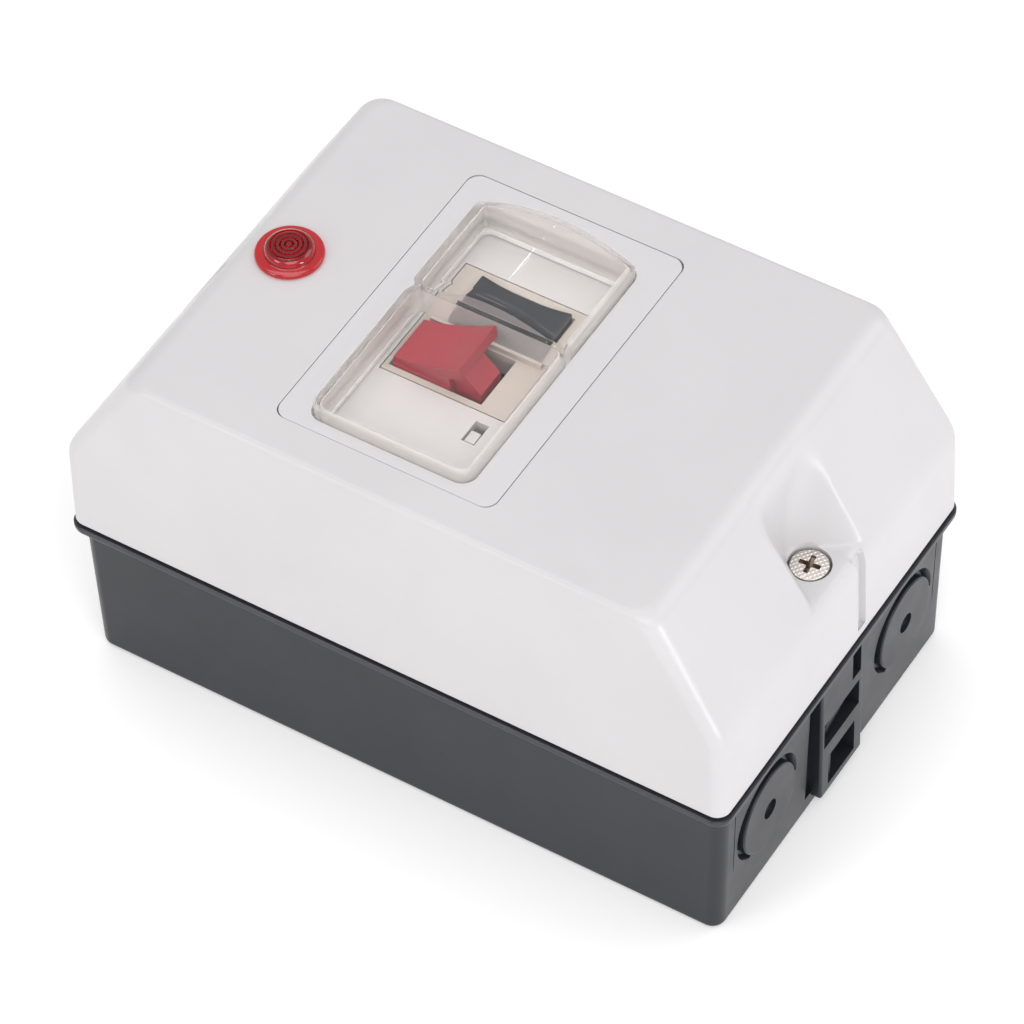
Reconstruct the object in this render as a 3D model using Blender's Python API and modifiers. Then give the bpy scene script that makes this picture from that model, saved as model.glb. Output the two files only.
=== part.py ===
"""Motor protection breaker in a surface mounting enclosure.

The object lies on its back.  +Z points out of the front cover, +Y is up when it hangs on a wall, and the
origin is at the centre of the back face.  Lengths below are millimetres; MM turns them into metres.
"""
from math import atan2, cos, pi, radians, sin, sqrt, tan

import bmesh
import bpy
from mathutils import Matrix, Vector

MM = 0.001
GAP = 0.3                      # clearance between neighbouring solids

# Enclosure
TOP = 88.0                     # front face of the cover
RIM = 39.0                     # lower edge of the cover
KNEE = 60.8                    # height at which the end walls start to slope
RIM_HALF = (47.0, 75.7)        # half width and half length of the cover at its rim
KNEE_HALF = (47.0, 75.3)
TOP_HALF = (46.0, 59.4)
CORNER = 3.0                   # radius of the upright corners
CREASE = 5.0                   # fillet between the sloped end and the front face
KNEE_FILLET = 10.0
SIDE_CREASE = 1.3              # fillet between the side walls and the front face
COVER_WALL = 2.4
COVER_TOP_WALL = 3.0
BASE_HALF = (45.1, 73.5)       # half width and half length of the base at the back
BASE_HALF_HIGH = (45.1, 74.6)  # the same just below the flange
FLANGE_HALF = (47.5, 76.2)
FLANGE_LOW = 36.3
FLANGE_TOP = 38.3
BASE_WALL = 2.5
END_LINE_X = 40.0              # fine upright lines on each end wall
KNOCKOUT_X = 27.2
KNOCKOUT_Z = 20.8
KNOCKOUT_R = 10.0
KNOCKOUT_FACE = 74.9
KNOCKOUT_GROOVE_R = 11.85
KNOCKOUT_FLAT = 8.9            # from the centre of a knock-out down to its flat side
BOSS_FACE = 75.7
COVER_SCREW_Y = 67.7
RECESS_FLOOR = 63.0
RECESS_WALL = 4.0              # thickness below the floor of the screw pocket
SCREW_SINK = 2.1               # depth of the counterbore for the screw's head

# Operating window
PANEL = (-37.3, -19.1, 36.5, 30.2)      # operator panel: low x, low y, high x, high y
PANEL_CORNER = 3.0
WINDOW = (-34.3, -12.2, 30.0, 24.2)     # clear membrane
LOBE_SPLIT = 3.5                        # x where the stop lobe meets the start dome
STOP_TOP = TOP + 3.0
DOME_END = TOP + 2.5
DOME_TOP = TOP + 7.0
MEMBRANE_WALL = 1.2
LAMP = (-0.8, 49.8)

# Breaker
BREAKER = (-18.2, -38.0, 26.8, 46.0)    # footprint: low x, low y, high x, high y
POLES = (-9.2, 4.3, 17.8)               # x of the three poles
RAIL_Y = 4.0
RAIL_LOW = 8.0
REAR_LOW = 15.8
SPLIT = 44.0                            # joint between rear and front housing
SHOULDER = 58.0
FACE = TOP - 7                          # front face of the breaker's nose
NOSE = (-11.8, -6.5, 19.8, 22.0)
LINE_Y = 42.0                           # line side terminals
LOAD_Y = -34.0                          # load side terminals
STRIP_Z = 33.8                          # underside of the current paths
STOP_PIVOT = (18.5, FACE - 4.5)         # y and z of the stop lever's axis
TRIP_PIVOT = (-22.0, 51.4)              # y and z of the trip bar's axis
DIAL = (4.3, -16.2)
TEST = (-17.3, -3.0)


def clear_scene():
    for item in list(bpy.data.objects):
        bpy.data.objects.remove(item, do_unlink=True)


def new_collection(name):
    group = bpy.data.collections.new(name)
    bpy.context.scene.collection.children.link(group)
    return group


def paint(name, colour, roughness, metallic=0.0, alpha=1.0):
    material = bpy.data.materials.new(name)
    material.use_nodes = True
    shader = material.node_tree.nodes["Principled BSDF"]
    shader.inputs["Base Color"].default_value = (*colour, 1.0)
    shader.inputs["Roughness"].default_value = roughness
    shader.inputs["Metallic"].default_value = metallic
    shader.inputs["Alpha"].default_value = alpha
    return material


# ---------------------------------------------------------------- outlines

def arc(centre, radius, start, end, steps):
    """Points on an arc, angles in degrees, both ends included."""
    points = []
    for i in range(steps + 1):
        angle = radians(start + (end - start) * i / steps)
        points.append((centre[0] + radius * cos(angle), centre[1] + radius * sin(angle)))
    return points


def rounded(low_x, low_y, high_x, high_y, radius, steps=4):
    """A rectangle with round corners, counter-clockwise."""
    points = arc((high_x - radius, high_y - radius), radius, 0, 90, steps)
    points += arc((low_x + radius, high_y - radius), radius, 90, 180, steps)
    points += arc((low_x + radius, low_y + radius), radius, 180, 270, steps)
    points += arc((high_x - radius, low_y + radius), radius, 270, 360, steps)
    return points


def ring(z, half_x, half_y, radius, steps=4):
    return [(x, y, z) for x, y in rounded(-half_x, -half_y, half_x, half_y, radius, steps)]


# ---------------------------------------------------------------- drawing into a bmesh, in millimetres

def draw_box(bm, low, high):
    centre = [(a + b) / 2 for a, b in zip(low, high)]
    size = [b - a for a, b in zip(low, high)]
    move = Matrix.Translation(centre) @ Matrix.Diagonal((*size, 1.0))
    bmesh.ops.create_cube(bm, size=1.0, matrix=move)


AXES = {
    "X": Matrix.Rotation(pi / 2, 4, "Y"),
    "Y": Matrix.Rotation(-pi / 2, 4, "X"),
    "Z": Matrix.Identity(4),
}


def draw_cylinder(bm, start, radius, length, axis="Z", segments=20):
    """A cylinder from start along +axis."""
    move = Matrix.Translation(start) @ AXES[axis] @ Matrix.Translation((0, 0, length / 2))
    bmesh.ops.create_cone(bm, cap_ends=True, segments=segments, radius1=radius, radius2=radius,
                          depth=length, matrix=move)


def draw_hull(bm, points):
    corners = [bm.verts.new(point) for point in points]
    bmesh.ops.convex_hull(bm, input=corners)


def draw_loft(bm, rings):
    """A closed body through rings of equal length, listed from the bottom up."""
    loops = [[bm.verts.new(point) for point in points] for points in rings]
    count = len(rings[0])
    for lower, upper in zip(loops, loops[1:]):
        for i in range(count):
            j = (i + 1) % count
            bm.faces.new((lower[i], lower[j], upper[j], upper[i]))
    bm.faces.new(list(reversed(loops[0])))
    bm.faces.new(loops[-1])


def draw_prism(bm, outline, low, high, axis="Z"):
    """A flat outline pushed along an axis.  On X the outline is (y, z); on Z it is (x, y)."""
    curve = bpy.data.curves.new("outline", "CURVE")
    curve.dimensions = "2D"
    curve.fill_mode = "BOTH"
    curve.extrude = (high - low) / 2
    spline = curve.splines.new("POLY")
    spline.points.add(len(outline) - 1)
    for point, (u, v) in zip(spline.points, outline):
        point.co = (u, v, 0.0, 1.0)
    spline.use_cyclic_u = True
    sheet = bpy.data.objects.new("outline", curve)
    bpy.context.scene.collection.objects.link(sheet)
    graph = bpy.context.evaluated_depsgraph_get()
    mesh = bpy.data.meshes.new_from_object(sheet.evaluated_get(graph))
    bpy.data.objects.remove(sheet)
    bpy.data.curves.remove(curve)
    piece = bmesh.new()
    piece.from_mesh(mesh)
    bmesh.ops.remove_doubles(piece, verts=piece.verts, dist=0.0001)
    bmesh.ops.recalc_face_normals(piece, faces=piece.faces)
    lift = Matrix.Translation((0, 0, (low + high) / 2))
    turn = Matrix(((0, 0, 1, 0), (1, 0, 0, 0), (0, 1, 0, 0), (0, 0, 0, 1)))
    piece.transform(turn @ lift if axis == "X" else lift)
    piece.to_mesh(mesh)
    piece.free()
    bm.from_mesh(mesh)
    bpy.data.meshes.remove(mesh)


# ---------------------------------------------------------------- objects

def add_object(name, bm, material=None, origin=(0, 0, 0)):
    """Link a body drawn in millimetres; one without a material is a cutter or a piece to be joined on."""
    bm.transform(Matrix.Scale(MM, 4) @ Matrix.Translation(-Vector(origin)))
    mesh = bpy.data.meshes.new(name)
    bm.to_mesh(mesh)
    bm.free()
    item = bpy.data.objects.new(name, mesh)
    item.location = Vector(origin) * MM
    if material is None:
        CUTTERS.objects.link(item)
        item.hide_render = True
        item.display_type = "WIRE"
    else:
        PARTS.objects.link(item)
        mesh.materials.append(material)
    return item


def combine(target, tool, operation):
    modifier = target.modifiers.new(operation.lower(), "BOOLEAN")
    modifier.operation = operation
    modifier.solver = "EXACT"
    modifier.use_self = True           # a tool may be made of shapes that cross each other
    modifier.object = tool


def smooth(item):
    item.data.shade_smooth()
    item.data.set_sharp_from_angle(angle=radians(35))


def turned(name, profile, origin, material, steps=28):
    """A profile of (radius, z) points, top to bottom, spun about the Z axis through origin."""
    bm = bmesh.new()
    points = [bm.verts.new((r, 0, z - origin[2])) for r, z in profile]
    for upper, lower in zip(points, points[1:]):
        bm.edges.new((upper, lower))
    bm.transform(Matrix.Scale(MM, 4))
    mesh = bpy.data.meshes.new(name)
    bm.to_mesh(mesh)
    bm.free()
    item = bpy.data.objects.new(name, mesh)
    item.location = Vector(origin) * MM
    PARTS.objects.link(item)
    mesh.materials.append(material)
    spin = item.modifiers.new("turned", "SCREW")
    spin.steps = steps
    spin.render_steps = steps
    spin.use_merge_vertices = True
    spin.merge_threshold = 0.00001
    spin.use_smooth_shade = True
    return item


def helix(name, centre, radius, length, turns, wire, material, axis="Z"):
    """A coil spring with its axis through centre, starting at centre."""
    per_turn = 8
    count = int(turns * per_turn) + 1
    curve = bpy.data.curves.new(name, "CURVE")
    curve.dimensions = "3D"
    curve.bevel_depth = wire * MM
    curve.bevel_resolution = 2
    curve.use_fill_caps = True
    spline = curve.splines.new("POLY")
    spline.points.add(count - 1)
    for i, point in enumerate(spline.points):
        angle = 2 * pi * i / per_turn
        rise = length * i / (count - 1)
        place = AXES[axis] @ Vector((radius * cos(angle), radius * sin(angle), rise))
        point.co = (*(place * MM), 1.0)
    curve.materials.append(material)
    item = bpy.data.objects.new(name, curve)
    item.location = Vector(centre) * MM
    PARTS.objects.link(item)
    return item


# ---------------------------------------------------------------- enclosure

def slope_y(z):
    """Half length of the sloped end at height z."""
    return TOP_HALF[1] + (KNEE_HALF[1] - TOP_HALF[1]) * (TOP - z) / (TOP - KNEE)


def wall_x(z):
    return KNEE_HALF[0] + (TOP_HALF[0] - KNEE_HALF[0]) * max(z - KNEE, 0) / (TOP - KNEE)


def cover_rings():
    """Outer skin of the cover, from the rim to the front face."""
    tilt = atan2(KNEE_HALF[1] - TOP_HALF[1], TOP - KNEE)
    turn = pi / 2 - tilt
    rings = [ring(RIM, *RIM_HALF, CORNER)]
    knee_start = KNEE - KNEE_FILLET * tan(tilt / 2)
    for i in range(4):
        angle = tilt * i / 3
        y = KNEE_HALF[1] - KNEE_FILLET * (1 - cos(angle))
        z = knee_start + KNEE_FILLET * sin(angle)
        rings.append(ring(z, wall_x(z), y, CORNER))
    crease_y = TOP_HALF[1] - CREASE * tan(turn / 2)
    for i in range(6):
        angle = turn * (1 - i / 5)
        y = crease_y + CREASE * sin(angle)
        z = TOP - CREASE * (1 - cos(angle))
        over = max(z - (TOP - SIDE_CREASE), 0)
        x = wall_x(z) - SIDE_CREASE + sqrt(SIDE_CREASE ** 2 - over ** 2)
        rings.append(ring(z, x, y, CORNER))
    return rings


def cover_cavity():
    """Inner space of the cover, which leaves a pocket of material round each cover screw."""
    wall = COVER_WALL
    sloped_wall = 2.75
    ceiling = TOP - COVER_TOP_WALL
    bm = bmesh.new()
    inner = KNEE_HALF[1] - wall
    draw_loft(bm, [
        ring(RIM - 2, RIM_HALF[0] - wall, RIM_HALF[1] - wall, 2),
        ring(RIM, RIM_HALF[0] - wall, RIM_HALF[1] - wall, 2),
        ring(KNEE - 0.6, KNEE_HALF[0] - wall, inner, 2),
        ring(ceiling, wall_x(ceiling) - wall, slope_y(ceiling) - sloped_wall, 2),
    ])
    cavity = add_object("cover_cavity", bm)
    keep = bmesh.new()
    low = RECESS_FLOOR - RECESS_WALL
    for side in (-1, 1):
        draw_hull(keep, [(x, side * y, z) for x, y, z in (
            (-13, 77, low), (13, 77, low), (-2, 58.2, low), (2, 58.2, low),
            (-17, 70, TOP + 4), (17, 70, TOP + 4), (-16, 58.2, TOP + 4), (16, 58.2, TOP + 4))])
    combine(cavity, add_object("screw_pocket_keep", keep), "DIFFERENCE")
    return cavity


def screw_recess(bm, side):
    """Pocket in the sloped end: a flat triangular floor, two leaning sides and an upright back."""
    apex = Vector((0, 61.0, RECESS_FLOOR))
    foot = Vector((8.6, 72.6, RECESS_FLOOR))
    brow = Vector((12.7, 61.1, TOP + 1.6))
    outward = (foot - apex) * 0.6
    points = [apex]
    for corner in (foot, brow, foot + outward, brow + outward):
        points.append(corner)
        points.append(Vector((-corner.x, corner.y, corner.z)))
    draw_hull(bm, [(p.x, side * p.y, p.z) for p in points])


def wire_groove(bm, side):
    """Upright channel beside the screw pocket, from its floor down to near the rim."""
    low, high = RIM + 1.5, RECESS_FLOOR + 1.5
    depth = 1.0
    points = []
    for x in (5.0, 8.0):
        for z in (low, high):
            wall = RIM_HALF[1] + (KNEE_HALF[1] - RIM_HALF[1]) * (z - RIM) / (KNEE - RIM)
            points += [(-side * x, side * (wall - depth), z), (-side * x, side * (wall + 3), z)]
    draw_hull(bm, points)
    draw_cylinder(bm, (-side * 6.5, min(side * 70, side * 78), low + 1.2), 0.7, 8, "Y", 8)


def enclosure_cover(material):
    bm = bmesh.new()
    draw_loft(bm, cover_rings())
    cover = add_object("enclosure_cover", bm, material)
    combine(cover, cover_cavity(), "DIFFERENCE")
    pockets = bmesh.new()
    grooves = bmesh.new()
    holes = bmesh.new()
    for side in (-1, 1):
        screw_recess(pockets, side)
        wire_groove(grooves, side)
        draw_cylinder(holes, (0, side * COVER_SCREW_Y, RECESS_FLOOR - 6), 2.2, 7)
        draw_cylinder(holes, (0, side * COVER_SCREW_Y, RECESS_FLOOR - SCREW_SINK), 4.7, SCREW_SINK + 1, segments=28)
    draw_cylinder(holes, (*LAMP, TOP - 6), 4.9, 10)
    window = bmesh.new()
    seat = [PANEL[0] - GAP, PANEL[1] - GAP, PANEL[2] + GAP, PANEL[3] + GAP]
    draw_prism(window, rounded(*seat, PANEL_CORNER + GAP), TOP - 1.5, TOP + 2)
    opening = bmesh.new()
    edge = [WINDOW[0] - GAP, WINDOW[1] - GAP, WINDOW[2] + GAP, WINDOW[3] + GAP]
    draw_prism(opening, rounded(*edge, 3.3), TOP - 6, TOP + 3)
    for name, cutter in (("screw_pockets", pockets), ("wire_grooves", grooves), ("cover_holes", holes),
                         ("panel_seat", window), ("window_opening", opening)):
        combine(cover, add_object(name, cutter), "DIFFERENCE")
    smooth(cover)


def rim_frame(name, low, high, outer, wall, radius, material=None):
    """A thin upright ring that follows the rim of the enclosure."""
    bm = bmesh.new()
    half_x, half_y = outer
    draw_prism(bm, rounded(-half_x, -half_y, half_x, half_y, radius), low, high)
    frame = add_object(name, bm, material)
    hole = bmesh.new()
    x, y = half_x - wall, half_y - wall
    draw_prism(hole, rounded(-x, -y, x, y, radius - wall), low - 1, high + 1)
    combine(frame, add_object(name + "_inside", hole), "DIFFERENCE")
    return frame


def end_wall_details(base, side):
    """Cable knock-outs and the central latch boss of one end wall."""
    def span(near, far):
        return min(side * near, side * far), far - near

    trench = bmesh.new()
    low, length = span(72.9, 78)
    near, far = sorted((side * 7.5, side * 10.6))
    draw_box(trench, (near, low, 4.6), (far, low + length, FLANGE_LOW - 0.3))
    boss = bmesh.new()
    draw_hull(boss, [(x, side * y, z) for x, y, z in (
        (-8.2, 72.0, FLANGE_LOW + 0.5), (8.2, 72.0, FLANGE_LOW + 0.5), (-8.2, BOSS_FACE, FLANGE_LOW + 0.5),
        (8.2, BOSS_FACE, FLANGE_LOW + 0.5), (-8.2, 72.0, 2.8), (8.2, 72.0, 2.8),
        (-8.2, BOSS_FACE, 4.2), (8.2, BOSS_FACE, 4.2), (-7.2, BOSS_FACE, 2.8), (7.2, BOSS_FACE, 2.8))])
    lines = bmesh.new()
    low, length = span(73.9, 78)
    for x in (-END_LINE_X, END_LINE_X):
        draw_box(lines, (x - 0.15, low, 2.0), (x + 0.15, low + length, FLANGE_LOW - 0.3))
    grooves = bmesh.new()
    webs = bmesh.new()
    discs = bmesh.new()
    flats = bmesh.new()
    pips = bmesh.new()
    flat = KNOCKOUT_Z - KNOCKOUT_FLAT
    for x in (-KNOCKOUT_X, KNOCKOUT_X):
        low, length = span(73.0, 80)
        draw_cylinder(grooves, (x, low, KNOCKOUT_Z), KNOCKOUT_GROOVE_R, length, "Y", 32)
        low, length = span(72.0, 82)
        reach = KNOCKOUT_GROOVE_R + 3
        web = [(0, 0)] + [(-side * reach * cos(a), reach * sin(a)) for a in (-2.1, -1.4, -0.7, 0)]
        draw_hull(webs, [(x + u, y, KNOCKOUT_Z + w) for u, w in web for y in (low, low + length)])
        low, length = span(72.4, KNOCKOUT_FACE)
        draw_cylinder(discs, (x, low, KNOCKOUT_Z), KNOCKOUT_R, length, "Y", 32)
        low, length = span(72.0, 78)
        draw_box(flats, (x - 12, low, flat - 4), (x + 12, low + length, flat))
        low, length = span(KNOCKOUT_FACE - 0.8, 78)
        draw_cylinder(pips, (x, low, KNOCKOUT_Z), 1.9, length, "Y", 16)
    pockets = bmesh.new()
    low, length = span(72.8, 78)
    for x1, z1, x2, z2 in ((3.9, 28.0, 7.2, 35.8), (-7.2, 18.0, 6.7, 25.4), (-5.4, 5.0, 5.1, 14.0)):
        x1, x2 = sorted((-side * x1, -side * x2))
        draw_box(pockets, (x1, low, z1), (x2, low + length, z2))
    groove_tool = add_object("knockout_grooves", grooves)
    combine(groove_tool, add_object("knockout_webs", webs), "DIFFERENCE")
    disc_tool = add_object("knockout_discs", discs)
    combine(disc_tool, add_object("knockout_flats", flats), "DIFFERENCE")
    for tool, operation in ((add_object("latch_trench", trench), "DIFFERENCE"),
                            (add_object("latch_boss", boss), "UNION"),
                            (add_object("end_lines", lines), "DIFFERENCE"),
                            (groove_tool, "DIFFERENCE"), (disc_tool, "UNION"),
                            (add_object("knockout_pips", pips), "DIFFERENCE"),
                            (add_object("boss_pockets", pockets), "DIFFERENCE")):
        combine(base, tool, operation)


def enclosure_base(material):
    bm = bmesh.new()
    draw_loft(bm, [
        ring(0, BASE_HALF[0] - 1.0, BASE_HALF[1] - 1.0, CORNER - 1.0),
        ring(0.3, BASE_HALF[0] - 0.3, BASE_HALF[1] - 0.3, CORNER - 0.3),
        ring(1.0, *BASE_HALF, CORNER),
        ring(FLANGE_LOW, *BASE_HALF_HIGH, CORNER),
        ring(FLANGE_LOW, *FLANGE_HALF, CORNER + 0.5),
        ring(FLANGE_TOP, *FLANGE_HALF, CORNER + 0.5),
    ])
    base = add_object("enclosure_base", bm, material)
    for side in (-1, 1):
        end_wall_details(base, side)
    cavity = bmesh.new()
    wall = BASE_WALL
    draw_loft(cavity, [
        ring(wall, BASE_HALF[0] - wall, BASE_HALF[1] - wall, 2),
        ring(RIM + 1, BASE_HALF_HIGH[0] - wall, BASE_HALF_HIGH[1] - wall - 0.4, 2),
    ])
    combine(base, add_object("base_cavity", cavity), "DIFFERENCE")
    posts = bmesh.new()
    bores = bmesh.new()
    for side in (-1, 1):
        height = RECESS_FLOOR - RECESS_WALL - GAP - (wall - 1)
        draw_cylinder(posts, (0, side * COVER_SCREW_Y, wall - 1), 3.3, height)
        draw_cylinder(bores, (0, side * COVER_SCREW_Y, 30), 2.2, 40)
        draw_box(posts, (side * 30 - 5, RAIL_Y - 14, wall - 1), (side * 30 + 5, RAIL_Y + 14, RAIL_LOW - GAP))
        draw_cylinder(bores, (side * 30, RAIL_Y, 3.5), 1.3, 10, segments=12)
        for end in (-1, 1):
            draw_cylinder(posts, (side * 34, end * 57, wall - 1), 5, 3.2)
            draw_cylinder(bores, (side * 34, end * 57, -2), 2.6, 10)
    combine(base, add_object("base_posts", posts), "UNION")
    combine(base, add_object("base_bores", bores), "DIFFERENCE")
    groove = rim_frame("gasket_groove", FLANGE_TOP - 1.2, FLANGE_TOP + 1, (45.4, 74.4), 1.8, 2.9)
    combine(base, groove, "DIFFERENCE")
    smooth(base)


def cover_gasket(material):
    gasket = rim_frame("cover_gasket", FLANGE_TOP - 0.9, RIM - GAP, (45.1, 74.1), 1.2, 2.6, material)
    smooth(gasket)


def cover_screw(name, side, material):
    """Cross-recess screw that holds the cover; its head is sunk to the floor of the pocket."""
    low = RECESS_FLOOR - SCREW_SINK + GAP
    profile = [(0, low + 1.8), (2.4, low + 1.75), (3.7, low + 1.5), (4.15, low + 0.9), (4.15, low), (1.9, low),
               (1.9, 42), (1.2, 40), (0, 40)]
    screw = turned(name, profile, (0, side * COVER_SCREW_Y, low), material, 28)
    cross = bmesh.new()
    y = side * COVER_SCREW_Y
    draw_box(cross, (-2.3, y - 0.45, low + 0.7), (2.3, y + 0.45, low + 4))
    draw_box(cross, (-0.45, y - 2.3, low + 0.7), (0.45, y + 2.3, low + 4))
    combine(screw, add_object(name + "_cross", cross), "DIFFERENCE")


# ---------------------------------------------------------------- window and lamp

def operator_panel(material):
    bm = bmesh.new()
    draw_prism(bm, rounded(*PANEL, PANEL_CORNER), TOP - 1.2, TOP)
    panel = add_object("operator_panel", bm, material)
    opening = bmesh.new()
    edge = [WINDOW[0] - GAP, WINDOW[1] - GAP, WINDOW[2] + GAP, WINDOW[3] + GAP]
    draw_prism(opening, rounded(*edge, 3.3), TOP - 3, TOP + 2)
    combine(panel, add_object("panel_opening", opening), "DIFFERENCE")


def dome_outline(inset, foot):
    """Side view (y, z) of the start dome: upright ends, standing at height foot, under one shallow arch."""
    low, high = WINDOW[1] + inset, WINDOW[3] - inset
    middle, half = (low + high) / 2, (high - low) / 2
    end, crown = DOME_END - inset, DOME_TOP - inset
    steps = 10
    points = [(low, foot), (high, foot)]
    for i in range(steps + 1):
        t = 1 - 2 * i / steps
        points.append((middle + half * t, end + (crown - end) * (1 - t * t)))
    return points


def window_membrane(material):
    """Clear flexible moulding with a flat stop lobe and an arched start dome, on one clamping flange."""
    low_x, low_y, high_x, high_y = WINDOW
    lobe = bmesh.new()
    stop = (low_x, low_y, LOBE_SPLIT + 0.6, high_y)
    shoulder = (stop[0] + 0.5, stop[1] + 0.5, stop[2] - 0.3, stop[3] - 0.5)
    inner = (stop[0] + 1.6, stop[1] + 1.6, stop[2] - 1.0, stop[3] - 1.6)
    draw_loft(lobe, [
        [(x, y, TOP - 4) for x, y in rounded(*stop, 3)],
        [(x, y, STOP_TOP - 1.5) for x, y in rounded(*stop, 3)],
        [(x, y, STOP_TOP - 0.4) for x, y in rounded(*shoulder, 3)],
        [(x, y, STOP_TOP) for x, y in rounded(*inner, 2.6)],
    ])
    membrane = add_object("window_membrane", lobe, material)
    dome = bmesh.new()
    near, far = 1.2, 2.5
    stations = [(LOBE_SPLIT + near * (1 - cos(a)), near * (1 - sin(a))) for a in (0, pi / 4, pi / 2)]
    stations += [(high_x - far * (1 - cos(a)), far * (1 - sin(a))) for a in (pi / 2, pi / 3, pi / 6, 0)]
    draw_loft(dome, [[(x, y, z) for y, z in dome_outline(0.1 + inset, TOP - 4.6)] for x, inset in stations])
    dome_body = add_object("dome_body", dome)
    flange = bmesh.new()
    draw_prism(flange, rounded(low_x - 3, low_y - 3, high_x + 3, high_y + 3, 5), TOP - 5, TOP - 3.3)
    wall = MEMBRANE_WALL
    inside = bmesh.new()
    draw_prism(inside, rounded(low_x + wall, low_y + wall, LOBE_SPLIT - 0.3, high_y - wall, 2), TOP - 8,
               STOP_TOP - wall)
    dome_inside = bmesh.new()
    draw_prism(dome_inside, dome_outline(wall, TOP - 8), LOBE_SPLIT + 0.9, high_x - wall, "X")
    combine(membrane, dome_body, "UNION")
    combine(membrane, add_object("membrane_flange", flange), "UNION")
    combine(membrane, add_object("stop_lobe_inside", inside), "DIFFERENCE")
    combine(membrane, add_object("dome_inside", dome_inside), "DIFFERENCE")
    smooth(membrane)


def membrane_frame(material):
    """Frame behind the cover that clamps the membrane's flange."""
    low_x, low_y, high_x, high_y = WINDOW
    bm = bmesh.new()
    draw_prism(bm, rounded(low_x - 5, low_y - 5, high_x + 5, high_y + 5, 5), FACE + GAP, TOP - 5 - GAP)
    frame = add_object("membrane_frame", bm, material)
    hole = bmesh.new()
    draw_prism(hole, rounded(low_x + 1.2, low_y + 1.2, high_x - 1.2, high_y - 1.2, 2), FACE - 1, TOP)
    combine(frame, add_object("membrane_frame_hole", hole), "DIFFERENCE")


def window_mask(material):
    """White plate that closes the window round the breaker's nose; it has a slot for the test slider."""
    low_x, low_y, high_x, high_y = WINDOW
    bm = bmesh.new()
    draw_box(bm, (low_x + 0.5, low_y + 0.5, FACE - 1.5), (high_x - 0.5, high_y - 0.5, FACE))
    mask = add_object("window_mask", bm, material)
    holes = bmesh.new()
    draw_box(holes, (NOSE[0] - GAP, NOSE[1] - GAP, FACE - 3), (NOSE[2] + GAP, NOSE[3] + GAP, FACE + 1))
    draw_box(holes, (TEST[0] - 2.7, TEST[1] - 1.5, FACE - 3), (TEST[0] + 2.9, TEST[1] + 1.5, FACE + 1))
    combine(mask, add_object("mask_holes", holes), "DIFFERENCE")


def pilot_lamp(lens_paint, body_paint, bulb_paint, nut_paint):
    x, y = LAMP
    low = TOP + GAP
    lens = [(0, low + 2.5), (3.5, low + 2.45), (3.9, low + 2.2), (5.15, low + 1.0), (6.8, low + 0.95),
            (7.05, low + 0.6), (7.05, low), (4.5, low), (4.5, TOP - 5), (3.2, TOP - 5), (3.2, TOP), (0, TOP)]
    turned("lamp_lens", lens, (x, y, low), lens_paint, 32)
    nut_low = TOP - COVER_TOP_WALL - GAP - 3.5
    bm = bmesh.new()
    draw_cylinder(bm, (x, y, nut_low), 7.6, 3.5, segments=6)
    nut = add_object("lamp_nut", bm, nut_paint, (x, y, nut_low))
    bore = bmesh.new()
    draw_cylinder(bore, (x, y, nut_low - 1), 4.8, 6, segments=24)
    combine(nut, add_object("lamp_nut_bore", bore), "DIFFERENCE")
    body_top = nut_low - GAP
    body = [(3.1, body_top), (6.6, body_top), (6.6, body_top - 4), (5.8, body_top - 4.5), (5.8, body_top - 14),
            (4.6, body_top - 15), (0, body_top - 15), (0, body_top - 6), (3.1, body_top - 6)]
    turned("lamp_body", body + [body[0]], (x, y, body_top), body_paint, 24)
    bulb_low = body_top - 6 + GAP
    bulb = [(0, TOP - 1.0), (1.3, TOP - 1.5), (2.2, TOP - 3), (2.5, TOP - 5), (2.5, bulb_low), (0, bulb_low)]
    turned("lamp_bulb", bulb, (x, y, bulb_low), bulb_paint, 16)


# ---------------------------------------------------------------- breaker: housings and rail

def din_rail(material, screw_material):
    bm = bmesh.new()
    brim, web, lip = 17.5, 13.5, 1.0
    top = RAIL_LOW + 7.5
    half = [(brim, top), (brim, top - lip), (web, top - lip), (web, RAIL_LOW)]
    outline = [(RAIL_Y + y, z) for y, z in half]
    outline += [(RAIL_Y - y, z) for y, z in reversed(half)]
    inner = [(web - lip, top), (web - lip, RAIL_LOW + lip)]
    outline += [(RAIL_Y - y, z) for y, z in inner]
    outline += [(RAIL_Y + y, z) for y, z in reversed(inner)]
    draw_prism(bm, outline, -38, 38, "X")
    rail = add_object("din_rail", bm, material)
    holes = bmesh.new()
    for side in (-1, 1):
        draw_cylinder(holes, (side * 30, RAIL_Y, RAIL_LOW - 2), 1.6, 5, segments=12)
    combine(rail, add_object("rail_holes", holes), "DIFFERENCE")
    for name, side in (("rail_screw_left", -1), ("rail_screw_right", 1)):
        head = RAIL_LOW + lip + GAP
        end = RAIL_LOW - 4
        profile = [(0, head + 2), (2.2, head + 1.7), (3, head), (1.0, head), (1.0, end), (0, end)]
        turned(name, profile, (side * 30, RAIL_Y, head), screw_material, 16)


def terminal_ends():
    """Sign along Y and centre of the line side and load side terminal rows."""
    return ((1, LINE_Y), (-1, LOAD_Y))


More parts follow.
